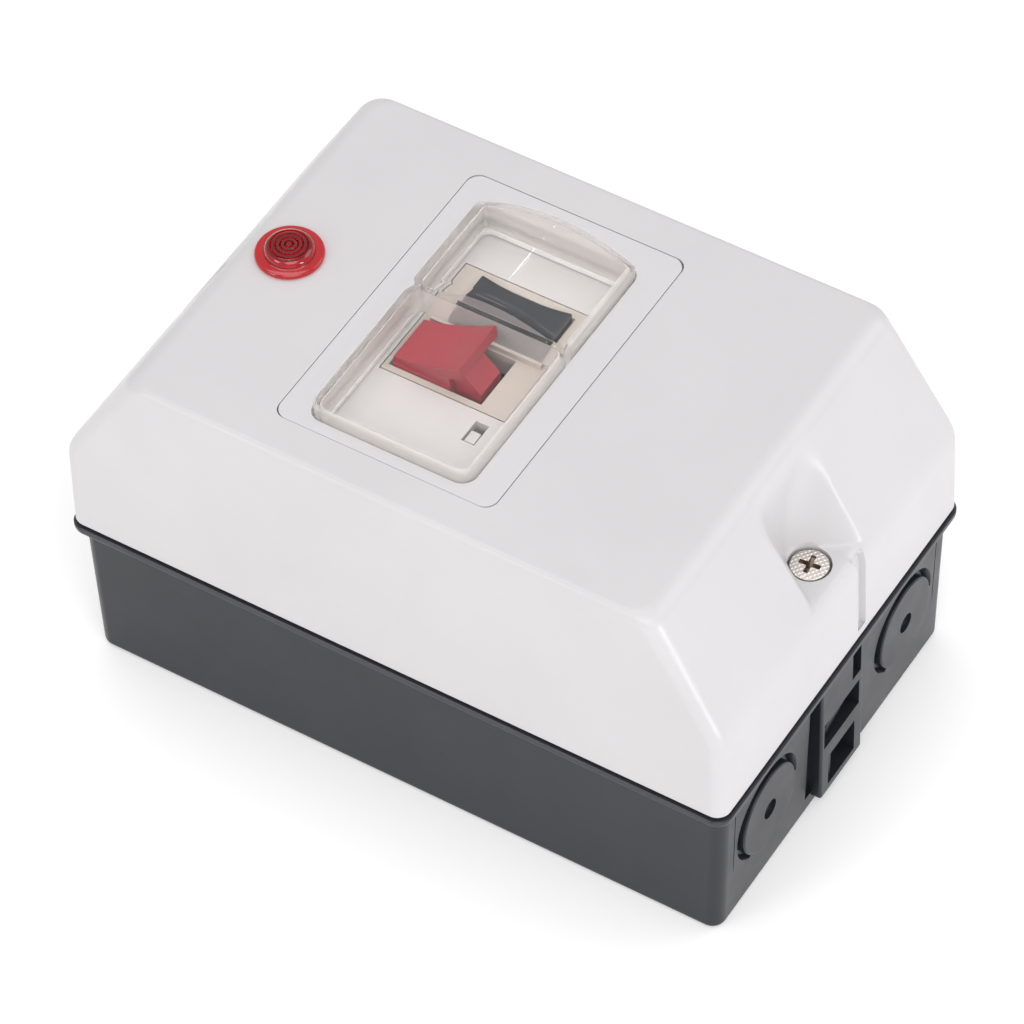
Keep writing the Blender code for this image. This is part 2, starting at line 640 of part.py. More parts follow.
def breaker_rear_housing(material):
    low_x, low_y, high_x, high_y = BREAKER
    wall = 2.0
    bm = bmesh.new()
    draw_box(bm, (low_x, low_y, REAR_LOW), (high_x, high_y, SPLIT))
    housing = add_object("breaker_rear_housing", bm, material)
    hooks = bmesh.new()
    for side in (-1, 1):
        y1, y2 = sorted((RAIL_Y + side * 17.8, RAIL_Y + side * 20.5))
        draw_box(hooks, (low_x + 4, y1, 12.6), (high_x - 4, y2, REAR_LOW + 1))
        y1, y2 = sorted((RAIL_Y + side * 14.0, RAIL_Y + side * 18.5))
        draw_box(hooks, (low_x + 4.5, y1, 12.6), (high_x - 4.5, y2, 14.2))
    hook_body = add_object("rail_hooks", hooks)
    combine(housing, hook_body, "UNION")
    room = bmesh.new()
    draw_box(room, (low_x + wall, low_y + 10, 18.5), (high_x - wall, high_y - 10, SPLIT + 2))
    combine(housing, add_object("rear_room", room), "DIFFERENCE")
    chambers = bmesh.new()
    slots = bmesh.new()
    for side, centre in terminal_ends():
        for pole in POLES:
            y1, y2 = sorted((centre - side * 4.2, centre + side * 6))
            draw_box(chambers, (pole - 5, y1, 30), (pole + 5, y2, SPLIT + 2))
            y1, y2 = sorted((centre - side * 8, centre - side * 3))
            draw_box(slots, (pole - 2.9, y1, STRIP_Z - GAP - 0.2), (pole + 2.9, y2, STRIP_Z + 2.0))
    combine(housing, add_object("rear_chambers", chambers), "DIFFERENCE")
    combine(housing, add_object("rear_slots", slots), "DIFFERENCE")


def breaker_front_housing(material):
    low_x, low_y, high_x, high_y = BREAKER
    wall = 2.0
    start = SPLIT + GAP
    bm = bmesh.new()
    draw_box(bm, (low_x, low_y, start), (high_x, high_y, SHOULDER))
    housing = add_object("breaker_front_housing", bm, material)
    block = bmesh.new()
    draw_box(block, (low_x, -20, SHOULDER - 1), (high_x, 30, FACE - 1.5 - GAP))
    nose = bmesh.new()
    draw_box(nose, (NOSE[0], NOSE[1], FACE - 6), (NOSE[2], NOSE[3], FACE))
    rib = bmesh.new()
    draw_box(rib, (3.1, -5.5, FACE - 1), (4.3, 20, FACE + 1.2))
    room = bmesh.new()
    draw_box(room, (low_x + wall, low_y + 10, start - 2), (high_x - wall, high_y - 10, SHOULDER - wall))
    upper = bmesh.new()
    draw_box(upper, (low_x + wall, -18, SHOULDER - 4), (high_x - wall, 28, FACE - 6))
    nose_room = bmesh.new()
    draw_box(nose_room, (NOSE[0] + 1.7, NOSE[1] + 2, FACE - 8), (3.1, NOSE[3] - 0.9, FACE - 1.6))
    draw_box(nose_room, (4.3, NOSE[1] + 2, FACE - 8), (NOSE[2] - 1.4, NOSE[3] - 0.9, FACE - 1.6))
    openings = bmesh.new()
    draw_box(openings, (NOSE[0] + 1.4, -0.2, FACE - 3), (2.6, NOSE[3] - 0.9, FACE + 3))
    draw_box(openings, (4.9, -4.4, FACE - 3), (17.9, 17.2, FACE + 3))
    draw_box(openings, (TEST[0] - 2.7, TEST[1] - 1.5, FACE - 9), (TEST[0] + 2.9, TEST[1] + 1.5, FACE + 1))
    draw_cylinder(openings, (NOSE[0] + 0.7, *STOP_PIVOT), 1.7, 3.7 - NOSE[0] - 0.7, "X", 16)
    draw_cylinder(openings, (*DIAL, FACE - 5), 3.9, 8)
    shafts = bmesh.new()
    for _, centre in terminal_ends():
        for pole in POLES:
            draw_cylinder(shafts, (pole, centre, start - 2), 3.6, SHOULDER)
    for name, tool, operation in (("front_block", block, "UNION"), ("front_nose", nose, "UNION"),
                                  ("front_rib", rib, "UNION"), ("front_room", room, "DIFFERENCE"),
                                  ("front_upper_room", upper, "DIFFERENCE"),
                                  ("nose_room", nose_room, "DIFFERENCE"),
                                  ("front_openings", openings, "DIFFERENCE"),
                                  ("driver_shafts", shafts, "DIFFERENCE")):
        combine(housing, add_object(name, tool), operation)


# ---------------------------------------------------------------- breaker: controls

def stop_lever(material):
    """T-shaped lever: a dished head that rises towards -Y, on a foot that turns about the X axis."""
    pivot_y, pivot_z = STOP_PIVOT
    centre = -3.9
    half = 5.6
    tip, heel = (4.4, TOP + 0.8), (20.4, TOP - 5.3)
    foot = FACE - 5.5
    steps = 6
    dish = 0.9
    head = []
    for i in range(steps + 1):
        t = i / steps
        sag = dish * 4 * t * (1 - t)
        head.append((heel[0] + (tip[0] - heel[0]) * t, heel[1] + (tip[1] - heel[1]) * t - sag))
    outline = [(7.0, foot), (heel[0], foot)] + head + [(tip[0] - 0.4, tip[1] - 2.8), (7.0, tip[1] - 4.4)]
    bm = bmesh.new()
    draw_prism(bm, outline, centre - half, centre + half, "X")
    for vertex in bm.verts:
        reach = (heel[0] - vertex.co.y) / (heel[0] - tip[0])
        flare = 1 + 0.18 * reach if vertex.co.z > FACE + 0.5 else 1.0
        vertex.co.x = centre + (vertex.co.x - centre) * flare
    lever = add_object("stop_lever", bm, material, (centre, pivot_y, pivot_z))
    stem = bmesh.new()
    front = [(0.8, foot), (8.0, foot), (8.0, tip[1] - 5), (4.6, tip[1] - 3.4), (0.8, FACE + 0.6)]
    draw_prism(stem, front, centre - 5.0, centre + 2.2, "X")
    pin = bmesh.new()
    draw_cylinder(pin, (NOSE[0] + 1.0, pivot_y, pivot_z), 1.4, 3.4 - NOSE[0] - 1.0, "X", 16)
    notch = bmesh.new()
    draw_cylinder(notch, (-0.2, pivot_y, pivot_z), 3.2, 4, "X", 16)
    combine(lever, add_object("lever_notch", notch), "DIFFERENCE")
    combine(lever, add_object("lever_stem", stem), "UNION")
    combine(lever, add_object("lever_pin", pin), "UNION")


def start_button(material):
    """Push button with a shallow cylindrical dish, on a plunger that meets the contact carrier."""
    low, high = (5.2, -4.0), (17.6, 16.8)
    middle = (high[1] + low[1]) / 2
    half = (high[1] - low[1]) / 2
    steps = 8
    outline = [(low[1], FACE - 7), (high[1], FACE - 7)]
    for i in range(steps + 1):
        t = 1 - 2 * i / steps
        outline.append((middle + half * t, FACE + 0.4 + 1.4 * t * t))
    centre_x = (low[0] + high[0]) / 2
    bm = bmesh.new()
    draw_prism(bm, outline, low[0], high[0], "X")
    button = add_object("start_button", bm, material, (centre_x, middle, FACE - 7))
    plunger = bmesh.new()
    draw_cylinder(plunger, (centre_x, middle, 52.3), 2.4, FACE - 58, segments=16)
    combine(button, add_object("button_plunger", plunger), "UNION")


def setting_dial(material):
    low = FACE - 5 + GAP
    profile = [(0, low + 3.4), (3.2, low + 3.4), (3.5, low + 3.1), (3.5, low), (0, low)]
    dial = turned("setting_dial", profile, (*DIAL, low), material, 24)
    slot = bmesh.new()
    draw_box(slot, (DIAL[0] - 2.6, DIAL[1] - 0.45, low + 2.2), (DIAL[0] + 2.6, DIAL[1] + 0.45, low + 6))
    combine(dial, add_object("dial_slot", slot), "DIFFERENCE")


def test_slider(material):
    bm = bmesh.new()
    x, y = TEST
    draw_box(bm, (x - 2.3, y - 1.1, FACE - 8.5), (x + 0.7, y + 1.1, FACE - 0.3))
    add_object("test_slider", bm, material, (x, y, FACE - 8.5))


# ---------------------------------------------------------------- breaker: current paths and trip

def terminals(screw_material, clamp_material):
    for side, centre in terminal_ends():
        row = "line" if side > 0 else "load"
        for number, pole in enumerate(POLES, 1):
            head = STRIP_Z + 5.8
            profile = [(0, head + 2.2), (3.0, head + 2.2), (3.2, head + 1.9), (3.2, head), (1.5, head),
                       (1.5, STRIP_Z + 2.0), (0, STRIP_Z + 2.0)]
            screw = turned(f"{row}_terminal_screw_{number}", profile, (pole, centre, head), screw_material, 16)
            slot = bmesh.new()
            draw_box(slot, (pole - 4, centre - 0.4, head + 1.2), (pole + 4, centre + 0.4, head + 4))
            combine(screw, add_object(f"{row}_slot_{number}", slot), "DIFFERENCE")
            low = STRIP_Z + 3.7
            plate = bmesh.new()
            draw_box(plate, (pole - 4, centre - 3.2, low), (pole + 4, centre + 3.2, low + 1.5))
            clamp = add_object(f"{row}_terminal_clamp_{number}", plate, clamp_material)
            bore = bmesh.new()
            draw_cylinder(bore, (pole, centre, low - 1), 1.9, 4, segments=12)
            combine(clamp, add_object(f"{row}_clamp_bore_{number}", bore), "DIFFERENCE")


def fixed_contacts(material):
    """Current strips from each terminal to a raised contact face under the moving bridge."""
    top = STRIP_Z + 1.5
    for side, centre in terminal_ends():
        row = "line" if side > 0 else "load"
        inner = 11.0 if side > 0 else 1.0
        for number, pole in enumerate(POLES, 1):
            outline = [(inner, STRIP_Z), (centre + side * 3, STRIP_Z), (centre + side * 3, top),
                       (inner + side * 3, top), (inner + side * 3, top + 1.2), (inner, top + 1.2)]
            bm = bmesh.new()
            draw_prism(bm, outline, pole - 2.5, pole + 2.5, "X")
            add_object(f"{row}_contact_{number}", bm, material)


def moving_contacts(carrier_material, bridge_material, spring_material):
    bm = bmesh.new()
    draw_box(bm, (POLES[0] - 4.8, 1, 46), (POLES[2] + 4.8, 11, 52))
    carrier = add_object("contact_carrier", bm, carrier_material, (POLES[1], 6, 46))
    legs = bmesh.new()
    for pole in POLES:
        draw_box(legs, (pole - 1.2, 4.5, 42.5), (pole + 1.2, 7.5, 46.5))
    combine(carrier, add_object("carrier_legs", legs), "UNION")
    for number, pole in enumerate(POLES, 1):
        outline = [(-2, 39.8), (1, 39.8), (1, 41), (11, 41), (11, 39.8), (14, 39.8), (14, 42.2), (-2, 42.2)]
        bar = bmesh.new()
        draw_prism(bar, outline, pole - 2.5, pole + 2.5, "X")
        add_object(f"contact_bridge_{number}", bar, bridge_material, (pole, 6, 41))
    middle = (POLES[1] + POLES[2]) / 2
    helix("return_spring", (middle, 6, 19.3), 1.7, 26, 6, 0.35, spring_material)


def trip_unit(coil_material, bimetal_material, bar_material):
    for number, pole in enumerate(POLES, 1):
        bm = bmesh.new()
        draw_cylinder(bm, (pole, -12.5, STRIP_Z + 2.2), 4.2, 11.5)
        add_object(f"trip_coil_{number}", bm, coil_material, (pole, -12.5, STRIP_Z + 2.2))
        strip = bmesh.new()
        draw_box(strip, (pole - 2, -22.6, STRIP_Z + 2.0), (pole + 2, -21.4, 49.0))
        add_object(f"bimetal_{number}", strip, bimetal_material, (pole, -22, STRIP_Z + 2.0))
    y, z = TRIP_PIVOT
    bar = bmesh.new()
    draw_box(bar, (POLES[0] - 4.5, y - 2.5, z - 1.1), (POLES[2] + 4.5, y + 2.5, z + 1.1))
    trip_bar = add_object("trip_bar", bar, bar_material, (POLES[1], y, z))
    fingers = bmesh.new()
    for pole in POLES:
        draw_box(fingers, (pole - 1.5, y + 1.4, z - 5), (pole + 1.5, y + 2.5, z))
    combine(trip_bar, add_object("trip_fingers", fingers), "UNION")


def arc_chutes(material):
    """Comb of arc splitter plates beside each pole."""
    low, high = (17.0, 37.0), (28.0, 52.0)
    plates = 5
    for number, pole in enumerate(POLES, 1):
        bm = bmesh.new()
        draw_box(bm, (pole - 4.5, low[0], low[1]), (pole + 4.5, high[0], high[1]))
        chute = add_object(f"arc_chute_{number}", bm, material, (pole, low[0], low[1]))
        slots = bmesh.new()
        pitch = (high[1] - low[1]) / plates
        for i in range(plates - 1):
            z = low[1] + pitch * (i + 0.75)
            draw_box(slots, (pole - 6, low[0] - 1, z), (pole + 6, high[0] - 2, z + pitch * 0.5))
        combine(chute, add_object(f"chute_slots_{number}", slots), "DIFFERENCE")


def earth_terminal(material, screw_material):
    x, y = -34.0, 32.0
    low = BASE_WALL + GAP
    bm = bmesh.new()
    draw_box(bm, (x - 5, y - 4, low), (x + 5, y + 4, low + 7))
    block = add_object("earth_terminal", bm, material)
    bore = bmesh.new()
    draw_cylinder(bore, (x, y, low + 2), 1.9, 8, segments=12)
    combine(block, add_object("earth_bore", bore), "DIFFERENCE")
    head = low + 7 + GAP
    profile = [(0, head + 2.4), (3.0, head + 2.4), (3.4, head + 1.9), (3.4, head), (1.6, head), (1.6, low + 3),
               (0, low + 3)]
    screw = turned("earth_screw", profile, (x, y, head), screw_material, 16)
    slot = bmesh.new()
    draw_box(slot, (x - 4, y - 0.4, head + 1.4), (x + 4, y + 0.4, head + 5))
    combine(screw, add_object("earth_slot", slot), "DIFFERENCE")


def build():
    white = paint("cover_white", (0.78, 0.77, 0.78), 0.35)
    panel_white = paint("panel_white", (0.80, 0.79, 0.80), 0.3)
    grey = paint("base_grey", (0.075, 0.08, 0.09), 0.45)
    rubber = paint("gasket_rubber", (0.02, 0.02, 0.022), 0.8)
    nickel = paint("screw_nickel", (0.62, 0.6, 0.57), 0.3, 1.0)
    clear = paint("membrane_clear", (0.92, 0.93, 0.93), 0.08, 0.0, 0.25)
    frame_white = paint("frame_white", (0.7, 0.7, 0.7), 0.5)
    mask_white = paint("mask_white", (0.8, 0.79, 0.77), 0.4)
    lens_red = paint("lens_red", (0.62, 0.02, 0.03), 0.12, 0.0, 0.7)
    lamp_black = paint("lamp_black", (0.03, 0.03, 0.03), 0.5)
    bulb_glass = paint("bulb_glass", (0.85, 0.8, 0.7), 0.1, 0.0, 0.6)
    ivory = paint("housing_ivory", (0.72, 0.69, 0.62), 0.45)
    rear_black = paint("housing_black", (0.05, 0.05, 0.055), 0.5)
    red = paint("lever_red", (0.6, 0.02, 0.03), 0.35)
    black = paint("button_black", (0.02, 0.022, 0.026), 0.35)
    blue = paint("dial_blue", (0.05, 0.15, 0.4), 0.4)
    zinc = paint("rail_zinc", (0.6, 0.6, 0.58), 0.35, 1.0)
    brass = paint("terminal_brass", (0.7, 0.5, 0.2), 0.3, 1.0)
    copper = paint("contact_copper", (0.75, 0.38, 0.22), 0.3, 1.0)
    winding = paint("coil_enamel", (0.45, 0.17, 0.06), 0.35, 0.6)
    steel = paint("spring_steel", (0.5, 0.5, 0.5), 0.3, 1.0)
    enclosure_base(grey)
    enclosure_cover(white)
    cover_gasket(rubber)
    cover_screw("cover_screw_top", 1, nickel)
    cover_screw("cover_screw_bottom", -1, nickel)
    operator_panel(panel_white)
    window_membrane(clear)
    membrane_frame(frame_white)
    window_mask(mask_white)
    pilot_lamp(lens_red, lamp_black, bulb_glass, nickel)
    din_rail(zinc, nickel)
    breaker_rear_housing(rear_black)
    breaker_front_housing(ivory)
    stop_lever(red)
    helix("stop_spring", (0.3, *STOP_PIVOT), 1.95, 1.2, 3, 0.18, steel, "X")
    start_button(black)
    setting_dial(blue)
    test_slider(mask_white)
    terminals(nickel, brass)
    fixed_contacts(copper)
    moving_contacts(rear_black, copper, steel)
    trip_unit(winding, brass, mask_white)
    arc_chutes(zinc)
    earth_terminal(brass, nickel)


clear_scene()
PARTS = new_collection("motor_protection_breaker")
CUTTERS = new_collection("cutters")
build()
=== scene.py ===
"""Looks of the enclosed motor protection breaker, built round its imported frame."""
from math import atan2, cos, pi, radians, sin, sqrt, tan

import bmesh
import bpy
import numpy as np
from mathutils import Matrix, Vector


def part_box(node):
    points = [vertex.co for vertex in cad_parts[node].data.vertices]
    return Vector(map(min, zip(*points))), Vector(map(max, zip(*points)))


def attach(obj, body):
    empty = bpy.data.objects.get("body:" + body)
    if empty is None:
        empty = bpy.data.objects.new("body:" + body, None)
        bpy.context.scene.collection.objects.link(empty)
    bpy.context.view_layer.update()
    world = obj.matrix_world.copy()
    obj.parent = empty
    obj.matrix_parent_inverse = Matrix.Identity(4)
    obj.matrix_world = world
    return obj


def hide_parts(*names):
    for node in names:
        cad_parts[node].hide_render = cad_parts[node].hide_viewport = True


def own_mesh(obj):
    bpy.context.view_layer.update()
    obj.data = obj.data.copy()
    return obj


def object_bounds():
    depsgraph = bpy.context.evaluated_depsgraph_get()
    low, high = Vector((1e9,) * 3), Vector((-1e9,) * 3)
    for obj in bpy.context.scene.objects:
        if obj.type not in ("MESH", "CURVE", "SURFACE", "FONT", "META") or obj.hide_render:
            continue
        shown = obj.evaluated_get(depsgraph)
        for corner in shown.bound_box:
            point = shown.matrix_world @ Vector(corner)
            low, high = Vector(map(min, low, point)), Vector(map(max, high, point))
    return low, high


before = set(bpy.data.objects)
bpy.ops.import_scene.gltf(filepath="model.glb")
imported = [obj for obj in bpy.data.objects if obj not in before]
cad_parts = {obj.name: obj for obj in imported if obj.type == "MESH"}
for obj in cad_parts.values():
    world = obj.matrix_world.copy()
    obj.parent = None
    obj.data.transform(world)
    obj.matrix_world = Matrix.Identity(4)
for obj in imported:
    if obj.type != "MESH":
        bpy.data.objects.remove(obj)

cad_low, cad_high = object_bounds()
SCENE = bpy.context.scene
MM = 0.001


def node_box(name):
    """Lowest and highest corner of a CAD node in millimetres."""
    low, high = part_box(name)
    return low / MM, high / MM


COVER_LOW, COVER_HIGH = node_box("enclosure_cover")
BASE_HIGH = node_box("enclosure_base")[1]
PANEL_LOW, PANEL_HIGH = node_box("operator_panel")
MEMBRANE_LOW, MEMBRANE_HIGH = node_box("window_membrane")
LENS_LOW, LENS_HIGH = node_box("lamp_lens")
SCREW_HIGH = node_box("cover_screw_top")[1]
RAIL_LOW, RAIL_HIGH = node_box("din_rail")
SIDES = (-1, 1)

# Cover, in millimetres: straight from RIM to KNEE, sloping at the ends from KNEE to TOP
TOP = COVER_HIGH.z
RIM = COVER_LOW.z
KNEE = TOP - 27.2
RIM_HALF = (COVER_HIGH.x, COVER_HIGH.y)
KNEE_HALF = (RIM_HALF[0], RIM_HALF[1] - 0.4)
TOP_HALF = (RIM_HALF[0] - 1.0, RIM_HALF[1] - 16.3)
RIM_CORNER = 3.0
TOP_CORNER = 4.0
RIM_EDGE = 0.35
CREASE = 5.0
KNEE_FILLET = 10.0
SIDE_CREASE = 1.4
WALL = 2.4
TOP_WALL = 3.0
SLOPED_WALL = 2.75
CAVITY_CORNER = 2

# Cover screws and the recesses they sit in
HEAD_R = 4.15
HEAD_HEIGHT = 1.8
SCREW_Y = SCREW_HIGH.y - HEAD_R
SCREW_HOLE_R = 2.2
SCREW_TIP = 40
RECESS_FLOOR = SCREW_HIGH.z
RECESS_WALL = 4.0
RECESS_APEX = Vector((0, 61.0, RECESS_FLOOR))
RECESS_FOOT = Vector((8.6, 72.6, RECESS_FLOOR))
RECESS_BROW = Vector((12.7, 61.1, TOP + 1.6))
CHANNEL_X = 7.2
CHANNEL_HALF = 2.0
CHANNEL_DEPTH = 1.35
DRAIN = (6.9, RIM + 2.6)
DRAIN_R = 0.55
# First value, last value and number of the grid lines across and down an end slope
GRID_ACROSS = (-21, 21, 71)
GRID_DOWN = (-5, 48.6, 90)

# Base and its flange
FLANGE_HALF = (BASE_HIGH.x, BASE_HIGH.y)
FLANGE_TOP = RIM - 0.7
FLANGE_LOW = RIM - 2.7
BASE_HALF = (FLANGE_HALF[0] - 2.4, FLANGE_HALF[1] - 2.7)
BASE_HALF_HIGH = (BASE_HALF[0], FLANGE_HALF[1] - 1.6)
BASE_WALL = 2.5
POST_R = 3.3
RAIL_Y = (RAIL_LOW.y + RAIL_HIGH.y) / 2
RAIL_POST_X = 30
MOUNT_HOLE = (34, 57)
GASKET_WIDTH = 1.8

# End walls of the base.  A box is given by its limits to the right for someone who faces the
# wall, its limits away from the middle of the base, and its limits in height.
TRENCH = (-11.0, -7.5, 72.6, 78, 4.6, FLANGE_LOW - 0.3)
BOSS = (-8.2, 8.2, 72.2, FLANGE_HALF[1] - 0.5, 2.8, FLANGE_LOW + 0.4)
POCKETS = ((3.9, 7.2, 72.6, 79, 28.0, FLANGE_LOW - 0.4),
           (-7.2, 6.7, 72.6, 79, 18.0, 25.4),
           (-5.4, 5.1, 72.6, 79, 5.0, 14.0))
RIB = ((-7.6, 17.6), (-7.6, 19.6), (7.1, 23.2), (7.1, 25.6))
RIB_REACH = (72.3, 74.3)
END_LINE = 40.0
END_LINE_HALF = 0.13
KNOCKOUT_X = 27.2
KNOCKOUT_Z = 20.8
KNOCKOUT_R = 10.0
KNOCKOUT_FACE = FLANGE_HALF[1] - 1.3
KNOCKOUT_FLAT = KNOCKOUT_Z - 8.9
GROOVE_R = (10.7, 12.6)
WEB_R = 16
WEB_ANGLES = (-2.15, -1.4, -0.7, -0.05)
MARK_HALF = 3.3
PIP_R = 2.25

# Panel, window, lamp and lever; SPLIT is where the low lobe of the window meets its dome
PANEL_THICKNESS = 1.2
PANEL_CORNER = 3.0
SEAT_DEPTH = 1.5
SEAT_CORNER = 2.7
SEAT_GAP_LOW = (0.12, 0.2)
SEAT_GAP_HIGH = (0.17, 0.12)
MEMBRANE_MARGIN = 3
WINDOW_LOW = MEMBRANE_LOW + Vector((MEMBRANE_MARGIN, MEMBRANE_MARGIN, 0))
WINDOW_HIGH = MEMBRANE_HIGH - Vector((MEMBRANE_MARGIN, MEMBRANE_MARGIN, 0))
WINDOW_GAP = 0.3
OPENING_CORNER = 3.3
WINDOW_WALL = 1.2
SPLIT = WINDOW_HIGH.x - 26.5
SPLIT_WIDTH = 2.2
STOP_TOP = TOP + 3.0
STOP_CORNER = 3.4
DOME_END = TOP + 2.5
DOME_TOP = MEMBRANE_HIGH.z
LAMP = ((LENS_LOW.x + LENS_HIGH.x) / 2, (LENS_LOW.y + LENS_HIGH.y) / 2)
LAMP_HOLE_R = 4.9
# Beyond this radius the lens gets a brighter copy of its red: painted light.
PAINTED_LIGHT_RIM_R = 4.55
LEVER_FOOT = ((-10.2, 7.4, TOP - 12.3), (-6.0, 20.2, TOP - 6.4))


# ---------------------------------------------------------------- materials

GRAIN_DEPTH = 0.0001                                # metres
# Places of the colour sockets of a Mix node
MIX_COLOURS = (6, 7)
MIX_RESULT = 2


def new_material(name):
    material = bpy.data.materials.new(name)
    material.use_nodes = True
    return material, material.node_tree, material.node_tree.nodes["Principled BSDF"]


def noise(tree, scale, detail=3.0, roughness=0.55):
    place = tree.nodes.new("ShaderNodeTexCoord")
    texture = tree.nodes.new("ShaderNodeTexNoise")
    texture.inputs["Scale"].default_value = scale
    texture.inputs["Detail"].default_value = detail
    texture.inputs["Roughness"].default_value = roughness
    tree.links.new(place.outputs["Object"], texture.inputs["Vector"])
    return texture.outputs["Fac"]


def spread(tree, source, low, high, start=0.3, end=0.7):
    ramp = tree.nodes.new("ShaderNodeMapRange")
    ramp.inputs["From Min"].default_value = start
    ramp.inputs["From Max"].default_value = end
    ramp.inputs["To Min"].default_value = low
    ramp.inputs["To Max"].default_value = high
    tree.links.new(source, ramp.inputs["Value"])
    return ramp.outputs["Result"]


def mixed(tree, factor, first, second):
    """A colour between first and second; either one is a socket or an RGB tuple."""
    node = tree.nodes.new("ShaderNodeMix")
    node.data_type = "RGBA"
    tree.links.new(factor, node.inputs["Factor"])
    for value, place in zip((first, second), MIX_COLOURS):
        if isinstance(value, tuple):
            node.inputs[place].default_value = (*value, 1.0)
        else:
            tree.links.new(value, node.inputs[place])
    return node.outputs[MIX_RESULT]


def bump(tree, shader, height, strength, distance):
    node = tree.nodes.new("ShaderNodeBump")
    node.inputs["Strength"].default_value = strength
    node.inputs["Distance"].default_value = distance
    tree.links.new(height, node.inputs["Height"])
    tree.links.new(node.outputs["Normal"], shader.inputs["Normal"])


def computed(tree, operation, first, second):
    """The result of a Math node; second is a socket or a number."""
    node = tree.nodes.new("ShaderNodeMath")
    node.operation = operation
    tree.links.new(first, node.inputs[0])
    if isinstance(second, float):
        node.inputs[1].default_value = second
    else:
        tree.links.new(second, node.inputs[1])
    return node.outputs[0]


def specks(tree, scale, size, share):
    """1 on specks of the given size in a share of all cells, 0 elsewhere."""
    place = tree.nodes.new("ShaderNodeTexCoord")
    cells = tree.nodes.new("ShaderNodeTexVoronoi")
    cells.inputs["Scale"].default_value = scale
    tree.links.new(place.outputs["Object"], cells.inputs["Vector"])
    split = tree.nodes.new("ShaderNodeSeparateColor")
    tree.links.new(cells.outputs["Color"], split.inputs[0])
    near = computed(tree, "LESS_THAN", cells.outputs["Distance"], size)
    rare = computed(tree, "LESS_THAN", split.outputs[0], share)
    return computed(tree, "MULTIPLY", near, rare)


def painted_edge_highlight(tree):
    """Mask of the painted edge highlight: 1 where an edge sticks out, 0 on flat faces."""
    geometry = tree.nodes.new("ShaderNodeNewGeometry")
    return spread(tree, geometry.outputs["Pointiness"], 0.0, 1.0, 0.52, 0.62)


def plastic(name, colour, rough, tone=0.04, grain=900.0, relief=0.06, dirt=None, edge=None,
            ior=1.5):
    """Moulded plastic: cloudy tone, fine grain, patchy gloss, specks of dirt and a painted
    highlight on edges that stick out.

    dirt is the scale, size and share of the specks and their colour; edge is the colour of the
    painted highlight on edges that stick out.
    """
    material, tree, shader = new_material(name)
    cloud = noise(tree, 35.0, 4.0)
    dark = tuple(c * (1 - tone) for c in colour)
    light = tuple(min(c * (1 + tone), 1.0) for c in colour)
    base = mixed(tree, spread(tree, cloud, 0.0, 1.0), dark, light)
    # Edges that stick out get the colour edge: a painted highlight.
    if edge is not None:
        base = mixed(tree, painted_edge_highlight(tree), base, edge)
    if dirt is not None:
        base = mixed(tree, specks(tree, *dirt[:3]), base, dirt[3])
    tree.links.new(base, shader.inputs["Base Color"])
    gloss = spread(tree, noise(tree, 120.0, 2.0), rough * 0.88, rough * 1.12)
    tree.links.new(gloss, shader.inputs["Roughness"])
    shader.inputs["IOR"].default_value = ior
    bump(tree, shader, noise(tree, grain, 2.0), relief, GRAIN_DEPTH)
    return material


def metal(name, colour, rough, tint=None, brushed=0.0, relief=0.1):
    """Plated or bare metal: blotches of tarnish, rough spots and fine grain or brushed lines."""
    material, tree, shader = new_material(name)
    shader.inputs["Metallic"].default_value = 1.0
    cloud = spread(tree, noise(tree, 140.0, 5.0, 0.65), 0.0, 1.0)
    tint = tint or tuple(c * 0.72 for c in colour)
    tree.links.new(mixed(tree, cloud, colour, tint), shader.inputs["Base Color"])
    gloss = spread(tree, noise(tree, 420.0, 3.0), rough * 0.75, rough * 1.3)
    tree.links.new(gloss, shader.inputs["Roughness"])
    if brushed:
        place = tree.nodes.new("ShaderNodeTexCoord")
        stretch = tree.nodes.new("ShaderNodeMapping")
        stretch.inputs["Scale"].default_value = (brushed, 4000.0, 4000.0)
        lines = tree.nodes.new("ShaderNodeTexNoise")
        lines.inputs["Scale"].default_value = 1.0
        tree.links.new(place.outputs["Object"], stretch.inputs["Vector"])
        tree.links.new(stretch.outputs["Vector"], lines.inputs["Vector"])
        bump(tree, shader, lines.outputs["Fac"], relief, GRAIN_DEPTH)
    else:
        bump(tree, shader, noise(tree, 1500.0, 2.0), relief, GRAIN_DEPTH)
    return material


def knurled(name, colour, valley):
    """Nickel face with a pressed diamond pattern."""
    material, tree, shader = new_material(name)
    shader.inputs["Metallic"].default_value = 1.0
    place = tree.nodes.new("ShaderNodeTexCoord")
    height = None
    for turn in (radians(35), radians(125)):
        mapping = tree.nodes.new("ShaderNodeMapping")
        mapping.inputs["Rotation"].default_value = (0.0, 0.0, turn)
        wave = tree.nodes.new("ShaderNodeTexWave")
        wave.inputs["Scale"].default_value = 370.0
        wave.inputs["Distortion"].default_value = 0.6
        tree.links.new(place.outputs["Object"], mapping.inputs["Vector"])
        tree.links.new(mapping.outputs["Vector"], wave.inputs["Vector"])
        if height is None:
            height = wave.outputs["Fac"]
        else:
            height = computed(tree, "MULTIPLY", height, wave.outputs["Fac"])
    base = mixed(tree, spread(tree, height, 0.0, 1.0, 0.0, 0.6), valley, colour)
    tree.links.new(base, shader.inputs["Base Color"])
    tree.links.new(spread(tree, noise(tree, 300.0), 0.28, 0.45), shader.inputs["Roughness"])
    bump(tree, shader, height, 0.6, 0.00025)
    return material


